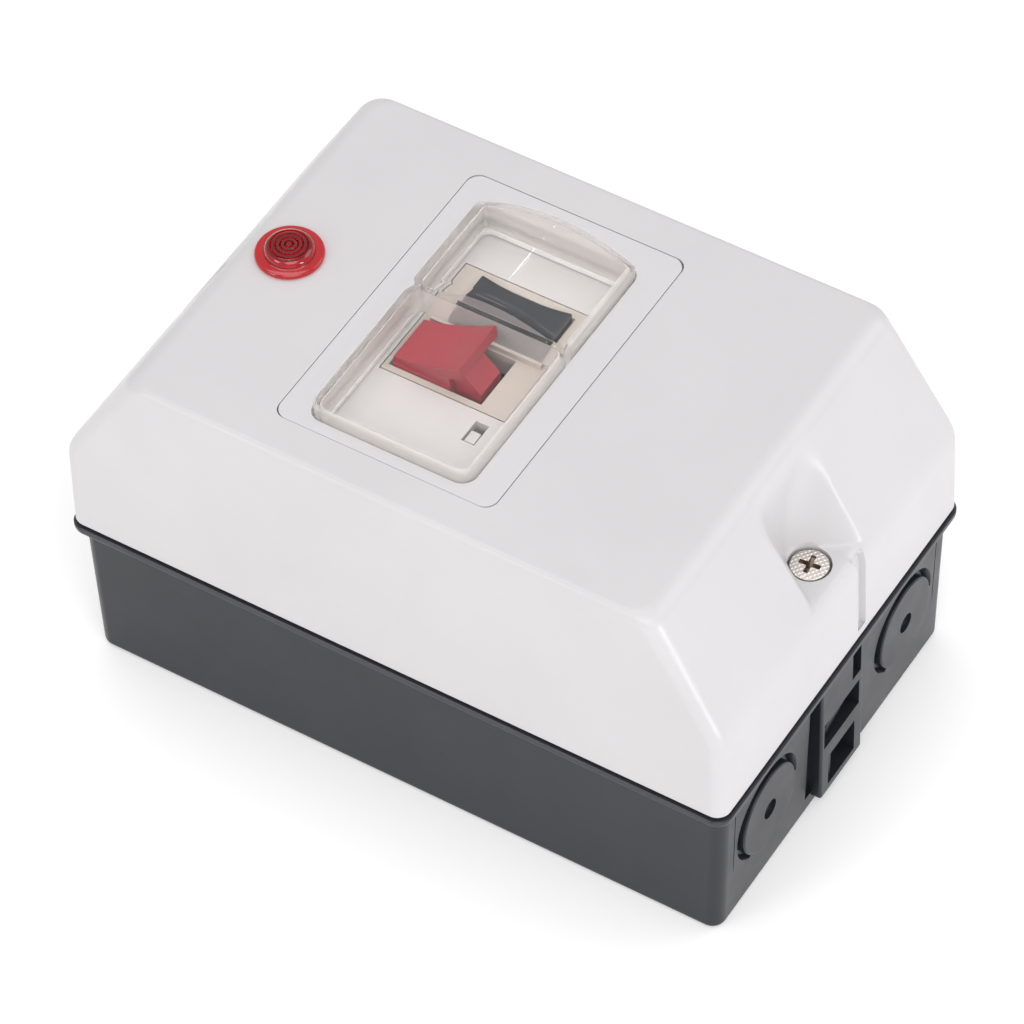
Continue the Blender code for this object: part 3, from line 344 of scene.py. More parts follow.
def clear_plastic(name, colour, haze, rough, shade, bend=1.42, coat=0.0):
    """See-through plastic; shadow rays pass it in the colour shade, so what it covers is lit."""
    material, tree, shader = new_material(name)
    streaks = spread(tree, noise(tree, 60.0, 4.0), 0.94, 1.0)
    tint = mixed(tree, streaks, tuple(c * 0.9 for c in colour), colour)
    tree.links.new(tint, shader.inputs["Base Color"])
    shader.inputs["Transmission Weight"].default_value = 1.0 - haze
    gloss = spread(tree, noise(tree, 200.0), rough * 0.7, rough * 1.5)
    tree.links.new(gloss, shader.inputs["Roughness"])
    shader.inputs["IOR"].default_value = bend
    shader.inputs["Coat Weight"].default_value = coat
    shader.inputs["Coat Roughness"].default_value = 0.04
    bump(tree, shader, noise(tree, 90.0, 2.0), 0.05, 0.0004)
    path = tree.nodes.new("ShaderNodeLightPath")
    hole = tree.nodes.new("ShaderNodeBsdfTransparent")
    hole.inputs["Color"].default_value = (*shade, 1.0)
    mix = tree.nodes.new("ShaderNodeMixShader")
    tree.links.new(path.outputs["Is Shadow Ray"], mix.inputs[0])
    tree.links.new(shader.outputs[0], mix.inputs[1])
    tree.links.new(hole.outputs[0], mix.inputs[2])
    tree.links.new(mix.outputs[0], tree.nodes["Material Output"].inputs["Surface"])
    return material


SPECK = (0.30, 0.28, 0.27)
COVER = plastic("cover_plastic", (0.61, 0.597, 0.609), 0.34, 0.02, 700.0, 0.05,
                (50.0, 0.017, 0.4, SPECK))
PANEL = plastic("panel_plastic", (0.62, 0.61, 0.625), 0.32, 0.01, 700.0, 0.04,
                (70.0, 0.012, 0.12, SPECK))
# The base gets a lighter colour on edges that stick out: a painted highlight.
GREY = plastic("base_plastic", (0.0165, 0.018, 0.0235), 0.32, 0.10, 900.0, 0.10,
               (80.0, 0.012, 0.2, (0.12, 0.12, 0.12)), (0.045, 0.048, 0.055), 1.4)
RUBBER = plastic("gasket_rubber", (0.018, 0.018, 0.02), 0.85, 0.2, 1400.0, 0.4)
FRAME_WHITE = plastic("frame_plastic", (0.72, 0.71, 0.70), 0.5, 0.03)
MASK_WHITE = plastic("mask_plastic", (0.53, 0.515, 0.51), 0.42, 0.02)
IVORY = plastic("housing_ivory", (0.47, 0.425, 0.385), 0.45, 0.04)
# The black housing gets a lighter colour on edges that stick out: a painted highlight.
DARK = plastic("housing_black", (0.03, 0.03, 0.034), 0.5, 0.15, 900.0, 0.12,
               None, (0.06, 0.06, 0.065))
RED = plastic("lever_red", (0.31, 0.018, 0.032), 0.38, 0.06, 800.0, 0.08,
              (600.0, 0.03, 0.06, (0.75, 0.6, 0.55)))
BLACK = plastic("button_black", (0.008, 0.011, 0.017), 0.22, 0.2, 700.0, 0.05,
                (500.0, 0.03, 0.08, (0.5, 0.45, 0.4)))
BLUE = plastic("dial_blue", (0.04, 0.12, 0.36), 0.4, 0.08)
LAMP_BLACK = plastic("lamp_black", (0.02, 0.02, 0.022), 0.5, 0.2, 900.0, 0.15)
NICKEL = metal("nickel", (0.66, 0.63, 0.59), 0.28, (0.45, 0.41, 0.37))
KNURL = knurled("nickel_knurled", (0.93, 0.90, 0.86), (0.72, 0.66, 0.61))
RECESS_METAL = metal("nickel_recess", (0.52, 0.42, 0.35), 0.5, (0.30, 0.23, 0.19))
ZINC = metal("rail_zinc", (0.62, 0.62, 0.6), 0.34, (0.44, 0.45, 0.46), 60.0, 0.15)
BRASS = metal("terminal_brass", (0.72, 0.52, 0.22), 0.3, (0.45, 0.29, 0.1))
COPPER = metal("contact_copper", (0.78, 0.40, 0.24), 0.28, (0.45, 0.2, 0.12))
ENAMEL = metal("coil_enamel", (0.42, 0.16, 0.06), 0.35, (0.25, 0.09, 0.04), 4000.0, 0.4)
STEEL = metal("spring_steel", (0.52, 0.52, 0.53), 0.25)
CLEAR = clear_plastic("membrane_clear", (0.985, 0.975, 0.97), 0.018, 0.03,
                      (0.975, 0.97, 0.965), 1.09, 0.2)
# A hazier, beige copy of the clear plastic for the steep walls: painted light, so that walls seen
# side-on read light.
WALL_PAINTED_LIGHT = clear_plastic("membrane_wall_painted_light", (0.80, 0.775, 0.755), 0.34, 0.06,
                     (0.96, 0.955, 0.95), 1.07, 0.25)
LENS = clear_plastic("lens_red", (0.56, 0.003, 0.012), 0.12, 0.04, (0.7, 0.06, 0.07), 1.42, 0.8)
# A brighter, hazier copy of the red lens for its flange and dome walls: painted light from the
# white cover shining up through them.
LENS_RIM_PAINTED_LIGHT = clear_plastic("lens_red_rim_painted_light", (0.62, 0.004, 0.018), 0.45, 0.05,
                         (0.9, 0.1, 0.1), 1.42, 0.8)
GLASS = clear_plastic("bulb_glass", (0.95, 0.92, 0.85), 0.05, 0.03, (0.95, 0.93, 0.9))


# ---------------------------------------------------------------- drawing, in millimetres

def arc(centre, radius, start, end, steps):
    """Points of an arc from start to end degrees."""
    points = []
    for i in range(steps + 1):
        angle = radians(start + (end - start) * i / steps)
        points.append((centre[0] + radius * cos(angle), centre[1] + radius * sin(angle)))
    return points


def rounded(low_x, low_y, high_x, high_y, radius, steps=8):
    """Outline of a rectangle with round corners, anticlockwise."""
    points = arc((high_x - radius, high_y - radius), radius, 0, 90, steps)
    points += arc((low_x + radius, high_y - radius), radius, 90, 180, steps)
    points += arc((low_x + radius, low_y + radius), radius, 180, 270, steps)
    points += arc((high_x - radius, low_y + radius), radius, 270, 360, steps)
    return points


def ring(z, half_x, half_y, radius, steps=8):
    return [(x, y, z) for x, y in rounded(-half_x, -half_y, half_x, half_y, radius, steps)]


def box(bm, low, high):
    centre = [(a + b) / 2 for a, b in zip(low, high)]
    size = [abs(b - a) for a, b in zip(low, high)]
    place = Matrix.Translation(centre) @ Matrix.Diagonal((*size, 1.0))
    bmesh.ops.create_cube(bm, size=1.0, matrix=place)


AXES = {"Y": Matrix.Rotation(-pi / 2, 4, "X"), "Z": Matrix.Identity(4)}


def cylinder(bm, start, radius, length, axis="Z", segments=48, end_radius=None):
    """A cylinder or cone from start along +axis."""
    end_radius = radius if end_radius is None else end_radius
    move = Matrix.Translation(start) @ AXES[axis] @ Matrix.Translation((0, 0, length / 2))
    bmesh.ops.create_cone(bm, cap_ends=True, segments=segments, radius1=radius,
                          radius2=end_radius, depth=length, matrix=move)


def hull(bm, points):
    bmesh.ops.convex_hull(bm, input=[bm.verts.new(point) for point in points])


def loft(bm, rings):
    """A closed body through rings that all have the same number of points."""
    loops = [[bm.verts.new(point) for point in points] for points in rings]
    count = len(rings[0])
    for lower, upper in zip(loops, loops[1:]):
        for i in range(count):
            j = (i + 1) % count
            bm.faces.new((lower[i], lower[j], upper[j], upper[i]))
    bm.faces.new(list(reversed(loops[0])))
    bm.faces.new(loops[-1])


def prism(bm, outline, low, high, axis="Z"):
    """A flat outline pushed along an axis.  On X the outline is (y, z); on Z it is (x, y)."""
    if axis == "X":
        loft(bm, [[(level, u, v) for u, v in outline] for level in (low, high)])
    else:
        loft(bm, [[(u, v, level) for u, v in outline] for level in (low, high)])


def spin(bm, profile, centre, steps=64):
    """A closed body turned about the vertical through centre.

    The profile is made of (radius, z) points and runs from the axis to the axis.
    """
    x, y = centre
    angles = [2 * pi * i / steps for i in range(steps)]
    loops = []
    for r, z in profile:
        if r == 0:
            loops.append([bm.verts.new((x, y, z))])
        else:
            loops.append([bm.verts.new((x + r * cos(a), y + r * sin(a), z)) for a in angles])
    for upper, lower in zip(loops, loops[1:]):
        for i in range(steps):
            j = (i + 1) % steps
            corners = []
            for loop, place in ((upper, i), (lower, i), (lower, j), (upper, j)):
                vertex = loop[place % len(loop)]
                if vertex not in corners:
                    corners.append(vertex)
            if len(corners) > 2:
                bm.faces.new(corners)


def body(name, bm):
    """An object made of what was drawn, which is used up."""
    bmesh.ops.recalc_face_normals(bm, faces=bm.faces)
    mesh = bpy.data.meshes.new(name)
    bm.to_mesh(mesh)
    bm.free()
    item = bpy.data.objects.new(name, mesh)
    SCENE.collection.objects.link(item)
    return item


def settle(item):
    """Turn a body's modifiers into its mesh."""
    graph = bpy.context.evaluated_depsgraph_get()
    mesh = bpy.data.meshes.new_from_object(item.evaluated_get(graph))
    old = item.data
    item.modifiers.clear()
    item.data = mesh
    bpy.data.meshes.remove(old)


def combine(item, tool, operation="DIFFERENCE"):
    """Cut the tool out of an item, or join it on; the tool is used up."""
    modifier = item.modifiers.new(operation.lower(), "BOOLEAN")
    modifier.operation = operation
    modifier.solver = "EXACT"
    modifier.use_self = True
    modifier.object = tool
    settle(item)
    old = tool.data
    bpy.data.objects.remove(tool)
    bpy.data.meshes.remove(old)


def round_edges(item, width, segments=3, angle=32):
    modifier = item.modifiers.new("rounded", "BEVEL")
    modifier.width = width
    modifier.segments = segments
    modifier.limit_method = "ANGLE"
    modifier.angle_limit = radians(angle)
    modifier.use_clamp_overlap = True
    modifier.miter_outer = "MITER_ARC"
    settle(item)


def flatten(item):
    """Merge faces that lie in one plane, so that edges can be rounded cleanly."""
    bm = bmesh.new()
    bm.from_mesh(item.data)
    bmesh.ops.remove_doubles(bm, verts=bm.verts, dist=0.001)
    bmesh.ops.dissolve_limit(bm, angle_limit=radians(0.6), verts=bm.verts, edges=bm.edges)
    bm.to_mesh(item.data)
    bm.free()


def finish(item, material, ride, *nodes, slot=None, angle=40):
    """Scale a drawn body to metres, shade it, and put it on its CAD body in place of the nodes."""
    item.data.transform(Matrix.Scale(MM, 4))
    item.data.materials.clear()
    item.data.materials.append(material)
    item.data.shade_smooth()
    item.data.set_sharp_from_angle(angle=radians(angle))
    weighted = item.modifiers.new("flat faces stay flat", "WEIGHTED_NORMAL")
    weighted.keep_sharp = True
    weighted.weight = 60
    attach(item, ride)
    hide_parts(*nodes)


def copy_of(node, name):
    """A new body in millimetres with the shape of a CAD node, ready to be refined."""
    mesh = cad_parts[node].data.copy()
    mesh.name = name
    mesh.transform(Matrix.Scale(1 / MM, 4))
    item = bpy.data.objects.new(name, mesh)
    SCENE.collection.objects.link(item)
    if mesh.has_custom_normals:
        bm = bmesh.new()
        bm.from_mesh(mesh)
        clean = bpy.data.meshes.new(name)
        bm.to_mesh(clean)
        bm.free()
        if "custom_normal" in clean.attributes:
            clean.attributes.remove(clean.attributes["custom_normal"])
        item.data = clean
        bpy.data.meshes.remove(mesh)
    flatten(item)
    return item


# ---------------------------------------------------------------- cover

def wall_x(z):
    """Half the width of the cover at a height."""
    return KNEE_HALF[0] + (TOP_HALF[0] - KNEE_HALF[0]) * max(z - KNEE, 0) / (TOP - KNEE)


def slope_y(z):
    """Half the length of the cover at a height of the slopes."""
    return TOP_HALF[1] + (KNEE_HALF[1] - TOP_HALF[1]) * (TOP - z) / (TOP - KNEE)


def corner_at(z):
    """Corner radius of the cover at a height."""
    return RIM_CORNER + (TOP_CORNER - RIM_CORNER) * max(z - KNEE, 0) / (TOP - KNEE)


def cover_rings():
    """Outlines of the cover from its rim to its top, round at the knee and at the crease."""
    tilt = atan2(KNEE_HALF[1] - TOP_HALF[1], TOP - KNEE)
    turn = pi / 2 - tilt
    rings = [ring(RIM, RIM_HALF[0] - RIM_EDGE, RIM_HALF[1] - RIM_EDGE, RIM_CORNER - RIM_EDGE),
             ring(RIM + 0.1, RIM_HALF[0] - 0.1, RIM_HALF[1] - 0.1, RIM_CORNER - 0.1),
             ring(RIM + RIM_EDGE, *RIM_HALF, RIM_CORNER)]
    start = KNEE - KNEE_FILLET * tan(tilt / 2)
    knee_steps = 5
    for i in range(knee_steps + 1):
        angle = tilt * i / knee_steps
        z = start + KNEE_FILLET * sin(angle)
        y = KNEE_HALF[1] - KNEE_FILLET * (1 - cos(angle))
        rings.append(ring(z, wall_x(z), y, corner_at(z)))
    crease_y = TOP_HALF[1] - CREASE * tan(turn / 2)
    crease_steps = 9
    for i in range(crease_steps + 1):
        angle = turn * (1 - i / crease_steps)
        z = TOP - CREASE * (1 - cos(angle))
        over = max(z - (TOP - SIDE_CREASE), 0)
        x = wall_x(z) - SIDE_CREASE + sqrt(max(SIDE_CREASE ** 2 - over ** 2, 0))
        rings.append(ring(z, x, crease_y + CREASE * sin(angle), corner_at(z)))
    return rings


def smooth_min(first, second, blend):
    """The lower of two heights, melted together where they come within blend of each other."""
    near = np.maximum(blend - np.abs(first - second), 0) / blend
    return np.minimum(first, second) - near ** 2 * blend / 4


def smooth_max(first, second, blend):
    """The higher of two heights, melted together in the same way."""
    return -smooth_min(-first, -second, blend)


def soft_recess(bm, side, rings):
    """What is cut from an end slope: the screw recess with soft edges and the channel below it.

    The relief is a field of heights over the slope: u runs along X, v down the slope, and the
    heights are measured out of it.
    """
    crest = Vector((0, TOP_HALF[1], TOP))
    down = Vector((0, KNEE_HALF[1] - TOP_HALF[1], KNEE - TOP)).normalized()
    out = Vector((0, -down.z, down.y))
    outline = [(max(p[1] for p in points), points[0][2]) for points in rings] + [(0.0, TOP)]
    skin_points = []
    for y, z in outline:
        away = Vector((0, y, z)) - crest
        skin_points.append((away.dot(down), away.dot(out)))
    skin_points.sort()
    u = np.linspace(*GRID_ACROSS)
    v = np.linspace(*GRID_DOWN)
    grid_u, grid_v = np.meshgrid(u, v, indexing="ij")
    skin = np.interp(grid_v, [p[0] for p in skin_points], [p[1] for p in skin_points])

    # The floor, the two side walls and the back wall of the recess, melted into one surface.
    right = (RECESS_BROW - RECESS_APEX).cross(RECESS_FOOT - RECESS_APEX)
    right = right if right.x < 0 else -right
    left = Vector((-right.x, right.y, right.z))
    heights = []
    for normal in (Vector((0, 0, 1)), right, left, Vector((0, 1, 0))):
        start = (crest - RECESS_APEX).dot(normal)
        heights.append(-(start + grid_u * normal.x + grid_v * down.dot(normal)) / out.dot(normal))
    floor, right_wall, left_wall, back = heights
    walls = smooth_max(smooth_max(right_wall, left_wall, 4.0), back, 5.0)
    hollow = smooth_max(floor, walls, 1.1)
    blend = 0.8 + 1.7 * np.clip((15 - grid_v) / 13, 0, 1) + 1.0 * np.clip((grid_v - 25) / 4, 0, 1)
    relief = smooth_min(skin, hollow, blend)
    # Outside the recess the surface is lifted clear of the slope, so that nothing is cut there.
    clear = np.maximum(hollow - skin - blend * 0.93, 0)
    lift = np.minimum(clear ** 2 / (4 * blend), 1.6) + 0.012

    # The channel runs down beside the middle and curls in at its upper end.
    low, high = RIM + 1.6, RECESS_FLOOR - 0.4
    z = crest.z + grid_v * down.z + relief * out.z
    curl = 1.1 * np.clip((z - high + 2.6) / 2.6, 0, 1) ** 2
    middle = -side * (CHANNEL_X + 0.5 * np.clip((z - KNEE) / 1.5, 0, 1) - curl)
    across = np.clip((CHANNEL_HALF - np.abs(grid_u - middle)) / 0.7, 0, 1)
    along = np.clip((z - low) / 0.8, 0, 1) * np.clip((high + 0.6 - z) / 1.2, 0, 1)
    channel = across ** 2 * (3 - 2 * across) * along
    surface = relief + lift * (1 - channel) - CHANNEL_DEPTH * channel

    # A closed block between that surface and a lid well outside the cover.
    lid = 9.0
    columns, rows = len(u), len(v)
    lower, upper = [], []
    for i in range(columns):
        for j in range(rows):
            for level, store in ((surface[i, j], lower), (skin[i, j] + lid, upper)):
                spot = crest + down * float(v[j]) + out * float(level)
                store.append(bm.verts.new((float(u[i]), side * spot.y, spot.z)))
    for i in range(columns - 1):
        for j in range(rows - 1):
            corners = (i * rows + j, (i + 1) * rows + j, (i + 1) * rows + j + 1, i * rows + j + 1)
            bm.faces.new([lower[c] for c in corners])
            bm.faces.new([upper[c] for c in reversed(corners)])
    edge = [i * rows for i in range(columns)] + [(columns - 1) * rows + j for j in range(1, rows)]
    edge += [i * rows + rows - 1 for i in range(columns - 2, -1, -1)] + list(range(rows - 2, 0, -1))
    for a, b in zip(edge, edge[1:] + edge[:1]):
        bm.faces.new((lower[a], lower[b], upper[b], upper[a]))


def cover_cavity():
    """The room inside the cover, without the walls that are kept behind the recesses."""
    half_x, half_y = RIM_HALF[0] - WALL, RIM_HALF[1] - WALL
    ceiling = TOP - TOP_WALL
    sections = ((RIM - 2, half_x, half_y), (RIM, half_x, half_y),
                (KNEE - 0.6, KNEE_HALF[0] - WALL, KNEE_HALF[1] - WALL),
                (ceiling, wall_x(ceiling) - WALL, slope_y(ceiling) - SLOPED_WALL))
    bm = bmesh.new()
    loft(bm, [ring(*section, CAVITY_CORNER, 4) for section in sections])
    cavity = body("cavity", bm)
    keep = bmesh.new()
    low, high = RECESS_FLOOR - RECESS_WALL, TOP + 4
    corners = ((-13, 77, low), (13, 77, low), (-2, 58.2, low), (2, 58.2, low),
               (-17, 70, high), (17, 70, high), (-16, 58.2, high), (16, 58.2, high))
    for side in SIDES:
        hull(keep, [(x, side * y, z) for x, y, z in corners])
    combine(cavity, body("keep", keep))
    return cavity


def window_opening(name, bottom, top):
    """A body that cuts the window's opening between two heights."""
    bm = bmesh.new()
    prism(bm, rounded(WINDOW_LOW.x - WINDOW_GAP, WINDOW_LOW.y - WINDOW_GAP,
                      WINDOW_HIGH.x + WINDOW_GAP, WINDOW_HIGH.y + WINDOW_GAP, OPENING_CORNER),
          bottom, top)
    return body(name, bm)


def cover_shell():
    """The hollow cover with its recesses, holes, panel seat and window opening."""
    rings = cover_rings()
    bm = bmesh.new()
    loft(bm, rings)
    shell = body("cover_shell", bm)
    for side in SIDES:
        relief = bmesh.new()
        soft_recess(relief, side, rings)
        combine(shell, body("relief", relief))
    combine(shell, cover_cavity())
    holes = bmesh.new()
    for side in SIDES:
        cylinder(holes, (0, side * SCREW_Y, RECESS_FLOOR - 6), SCREW_HOLE_R, 7)
        cylinder(holes, (0, side * SCREW_Y, RECESS_FLOOR - 2.1), HEAD_R + 0.3, 3.3)
        cylinder(holes, (side * -DRAIN[0], side * RIM_HALF[1] - 3, DRAIN[1]), DRAIN_R, 6, "Y", 16)
    cylinder(holes, (*LAMP, TOP - 6), LAMP_HOLE_R, 10)
    combine(shell, body("holes", holes))
    seat = bmesh.new()
    prism(seat, rounded(PANEL_LOW.x - SEAT_GAP_LOW[0], PANEL_LOW.y - SEAT_GAP_LOW[1],
                        PANEL_HIGH.x + SEAT_GAP_HIGH[0], PANEL_HIGH.y + SEAT_GAP_HIGH[1],
                        SEAT_CORNER), TOP - SEAT_DEPTH, TOP + 2)
    combine(shell, body("seat", seat))
    combine(shell, window_opening("opening", TOP - 6, TOP + 3))
    finish(shell, COVER, "cover", "enclosure_cover", slot="cover_white", angle=50)


def panel_plate():
    """The thin plate let into the top, with an opening for the window."""
    bm = bmesh.new()
    outline = rounded(PANEL_LOW.x, PANEL_LOW.y, PANEL_HIGH.x, PANEL_HIGH.y, PANEL_CORNER, 10)
    prism(bm, outline, TOP - PANEL_THICKNESS, TOP)
    plate = body("panel_plate", bm)
    combine(plate, window_opening("hole", TOP - 3, TOP + 2))
    flatten(plate)
    round_edges(plate, 0.15, 2, 40)
    finish(plate, PANEL, "cover", "operator_panel", slot="panel_white")


# ---------------------------------------------------------------- base

def end_details(base, side):
    """Latch boss, knock-outs and fine lines of one end wall."""
    def span(near, far):
        """Lowest y and length of what reaches from near to far, measured from the middle."""
        return min(side * near, side * far), far - near

    def across(bm, x1, x2, near, far, z1, z2):
        """A box whose x is counted to the right of someone who faces the end wall."""
        low, length = span(near, far)
        x1, x2 = sorted((-side * x1, -side * x2))
        box(bm, (x1, low, z1), (x2, low + length, z2))

    trench = bmesh.new()
    across(trench, *TRENCH)
    combine(base, body("trench", trench))
    boss = bmesh.new()
    across(boss, *BOSS)
    boss_body = body("boss", boss)
    round_edges(boss_body, 0.6, 4)
    combine(base, boss_body, "UNION")
    lines = bmesh.new()
    for x in (-END_LINE, END_LINE):
        across(lines, x - END_LINE_HALF, x + END_LINE_HALF, 73.9, 78, 2.0, FLANGE_LOW - 0.3)
    combine(base, body("lines", lines))

    # Each knock-out is a disc with a flat foot in a round groove that a web interrupts.
    grooves = bmesh.new()
    webs = bmesh.new()
    discs = bmesh.new()
    flats = bmesh.new()
    for x in (-KNOCKOUT_X, KNOCKOUT_X):
        low, length = span(72.7, 75.7)
        start, end = GROOVE_R if side > 0 else reversed(GROOVE_R)
        cylinder(grooves, (x, low, KNOCKOUT_Z), start, length, "Y", 72, end)
        low, length = span(72.0, 82)
        web = [(0, 0)] + [(-side * WEB_R * cos(a), WEB_R * sin(a)) for a in WEB_ANGLES]
        hull(webs, [(x + u, y, KNOCKOUT_Z + w) for u, w in web for y in (low, low + length)])
        low, length = span(71.8, KNOCKOUT_FACE)
        cylinder(discs, (x, low, KNOCKOUT_Z), KNOCKOUT_R, length, "Y", 72)
        across(flats, -side * x - 12, -side * x + 12, 71, 79, KNOCKOUT_Z - 13, KNOCKOUT_FLAT)
    groove_body = body("grooves", grooves)
    combine(groove_body, body("webs", webs))
    combine(base, groove_body)
    disc_body = body("discs", discs)
    combine(disc_body, body("flats", flats))
    flatten(disc_body)
    round_edges(disc_body, 0.45, 4, 50)
    combine(base, disc_body, "UNION")
    # A fine line above the flat and a blind hole in the middle of each disc.
    marks = bmesh.new()
    pips = bmesh.new()
    for x in (-KNOCKOUT_X, KNOCKOUT_X):
        across(marks, -side * x - MARK_HALF, -side * x + MARK_HALF, KNOCKOUT_FACE - 0.6, 79,
               KNOCKOUT_Z - 8.8, KNOCKOUT_Z - 8.3)
        low, length = span(KNOCKOUT_FACE - 0.9, KNOCKOUT_FACE + 0.8)
        cylinder(pips, (x, low, KNOCKOUT_Z), PIP_R, length, "Y", 32)
    combine(base, body("marks", marks))
    combine(base, body("pips", pips))

    pockets = bmesh.new()
    for pocket in POCKETS:
        across(pockets, *pocket)
    combine(base, body("pockets", pockets))
    ribs = bmesh.new()
    hull(ribs, [(-side * x, side * y, z) for x, z in RIB for y in RIB_REACH])
    cylinder(ribs, (side * 3.3, side * 72.9, 4.6), 1.9, 6.9, segments=32)
    rib_body = body("ribs", ribs)
    round_edges(rib_body, 0.3, 2, 50)
    combine(base, rib_body, "UNION")


def base_shell():
    """The hollow base with its flange, end walls, posts, mounting holes and gasket groove."""
    bm = bmesh.new()
    corner = RIM_CORNER
    rings = [ring(0, BASE_HALF[0] - 1.1, BASE_HALF[1] - 1.1, corner - 1.1),
             ring(0.15, BASE_HALF[0] - 0.55, BASE_HALF[1] - 0.55, corner - 0.55),
             ring(0.55, BASE_HALF[0] - 0.15, BASE_HALF[1] - 0.15, corner - 0.15),
             ring(1.1, *BASE_HALF, corner),
             ring(FLANGE_LOW - 0.4, *BASE_HALF_HIGH, corner),
             ring(FLANGE_LOW - 0.1, BASE_HALF_HIGH[0] + 0.15, BASE_HALF_HIGH[1] + 0.15, corner),
             ring(FLANGE_LOW, BASE_HALF_HIGH[0] + 0.5, BASE_HALF_HIGH[1] + 0.3, corner + 0.2)]
    for inset, rise in ((0.9, 0.05), (0.45, 0.2), (0.12, 0.5), (0.0, 0.9)):
        rings.append(ring(FLANGE_LOW + rise, FLANGE_HALF[0] - inset,
                          FLANGE_HALF[1] - inset * 0.6, corner + 0.5))
    rings.append(ring(FLANGE_TOP - 0.25, *FLANGE_HALF, corner + 0.5))
    rings.append(ring(FLANGE_TOP, FLANGE_HALF[0] - 0.25, FLANGE_HALF[1] - 0.25, corner + 0.25))
    loft(bm, rings)
    base = body("base_shell", bm)
    for side in SIDES:
        end_details(base, side)
    room = bmesh.new()
    wall = BASE_WALL
    loft(room, [ring(wall, BASE_HALF[0] - wall, BASE_HALF[1] - wall, CAVITY_CORNER, 4),
                ring(RIM + 1, BASE_HALF_HIGH[0] - wall, BASE_HALF_HIGH[1] - wall - 0.4,
                     CAVITY_CORNER, 4)])
    combine(base, body("room", room))
    posts = bmesh.new()
    bores = bmesh.new()
    foot = wall - 1
    for side in SIDES:
        cylinder(posts, (0, side * SCREW_Y, foot), POST_R,
                 RECESS_FLOOR - RECESS_WALL - 0.3 - wall + 1, segments=32)
        cylinder(bores, (0, side * SCREW_Y, 30), SCREW_HOLE_R, 40, segments=32)
        x = side * RAIL_POST_X
        box(posts, (x - 5, RAIL_Y - 14, foot), (x + 5, RAIL_Y + 14, RAIL_LOW.z - 0.3))
        cylinder(bores, (x, RAIL_Y, 3.5), 1.3, 10, segments=24)
        for end in SIDES:
            x, y = side * MOUNT_HOLE[0], end * MOUNT_HOLE[1]
            cylinder(posts, (x, y, foot), 5, 3.2, segments=32)
            cylinder(bores, (x, y, -2), 2.6, 10, segments=32)
            cylinder(bores, (x, y, -2), 4.2, 2.8, segments=32)
    combine(base, body("posts", posts), "UNION")
    combine(base, body("bores", bores))
    groove = bmesh.new()
    half_x, half_y = RIM_HALF[0] - 1.1, RIM_HALF[1] - 0.7
    prism(groove, rounded(-half_x, -half_y, half_x, half_y, 2.9), FLANGE_TOP - 1.2, FLANGE_TOP + 1)
    core = bmesh.new()
    prism(core, rounded(GASKET_WIDTH - half_x, GASKET_WIDTH - half_y,
                        half_x - GASKET_WIDTH, half_y - GASKET_WIDTH, 1.1),
          FLANGE_TOP - 2, FLANGE_TOP + 2)
    groove_body = body("groove", groove)
    combine(groove_body, body("core", core))
    combine(base, groove_body)
    finish(base, GREY, "base", "enclosure_base", slot="base_grey", angle=40)


# ---------------------------------------------------------------- screws, lamp

def cover_screws():
    """Two screws with a knurled face and a cross recess; each face gets its metal."""
    crown = ((0, HEAD_HEIGHT), (2.0, 1.79), (3.4, 1.72), (3.85, 1.6), (4.08, 1.3), (HEAD_R, 0.9))
    cross = ((2.5, 0.62, 4), (2.2, 0.5, 1.2), (0.6, 0.35, -0.1))
    for side, name in ((1, "top"), (-1, "bottom")):
        low = RECESS_FLOOR - HEAD_HEIGHT
        y = side * SCREW_Y
        bm = bmesh.new()
        shank = [(HEAD_R, low), (1.9, low), (1.9, SCREW_TIP + 2), (1.2, SCREW_TIP), (0, SCREW_TIP)]
        spin(bm, [(r, low + z) for r, z in crown] + shank, (0, y))
        screw = body(f"cover_screw_head_{name}", bm)
        screw.data.materials.append(NICKEL)
        for turn in (0.0, pi / 2):
            swing = Matrix.Translation((0, y, 0)) @ Matrix.Rotation(turn + radians(6), 4, "Z")
            points = []
            for x in SIDES:
                for reach, half, level in cross:
                    points += [(x * reach, -half, low + level), (x * reach, half, low + level)]
            arm = bmesh.new()
            hull(arm, points)
            bmesh.ops.transform(arm, matrix=swing, verts=arm.verts)
            combine(screw, body("cross_arm", arm))
        finish(screw, NICKEL, "cover", f"cover_screw_{name}", slot="nickel", angle=30)
        screw.data.materials.append(KNURL)
        screw.data.materials.append(RECESS_METAL)
        for polygon in screw.data.polygons:
            centre = polygon.center
            reach = sqrt(centre.x ** 2 + (centre.y - y * MM) ** 2)
            if centre.z > (low + 1.5) * MM and polygon.normal.z > 0.95:
                polygon.material_index = 1
            elif reach < 2.9 * MM and (low - 0.4) * MM < centre.z < (low + 2.2) * MM:
                polygon.material_index = 2


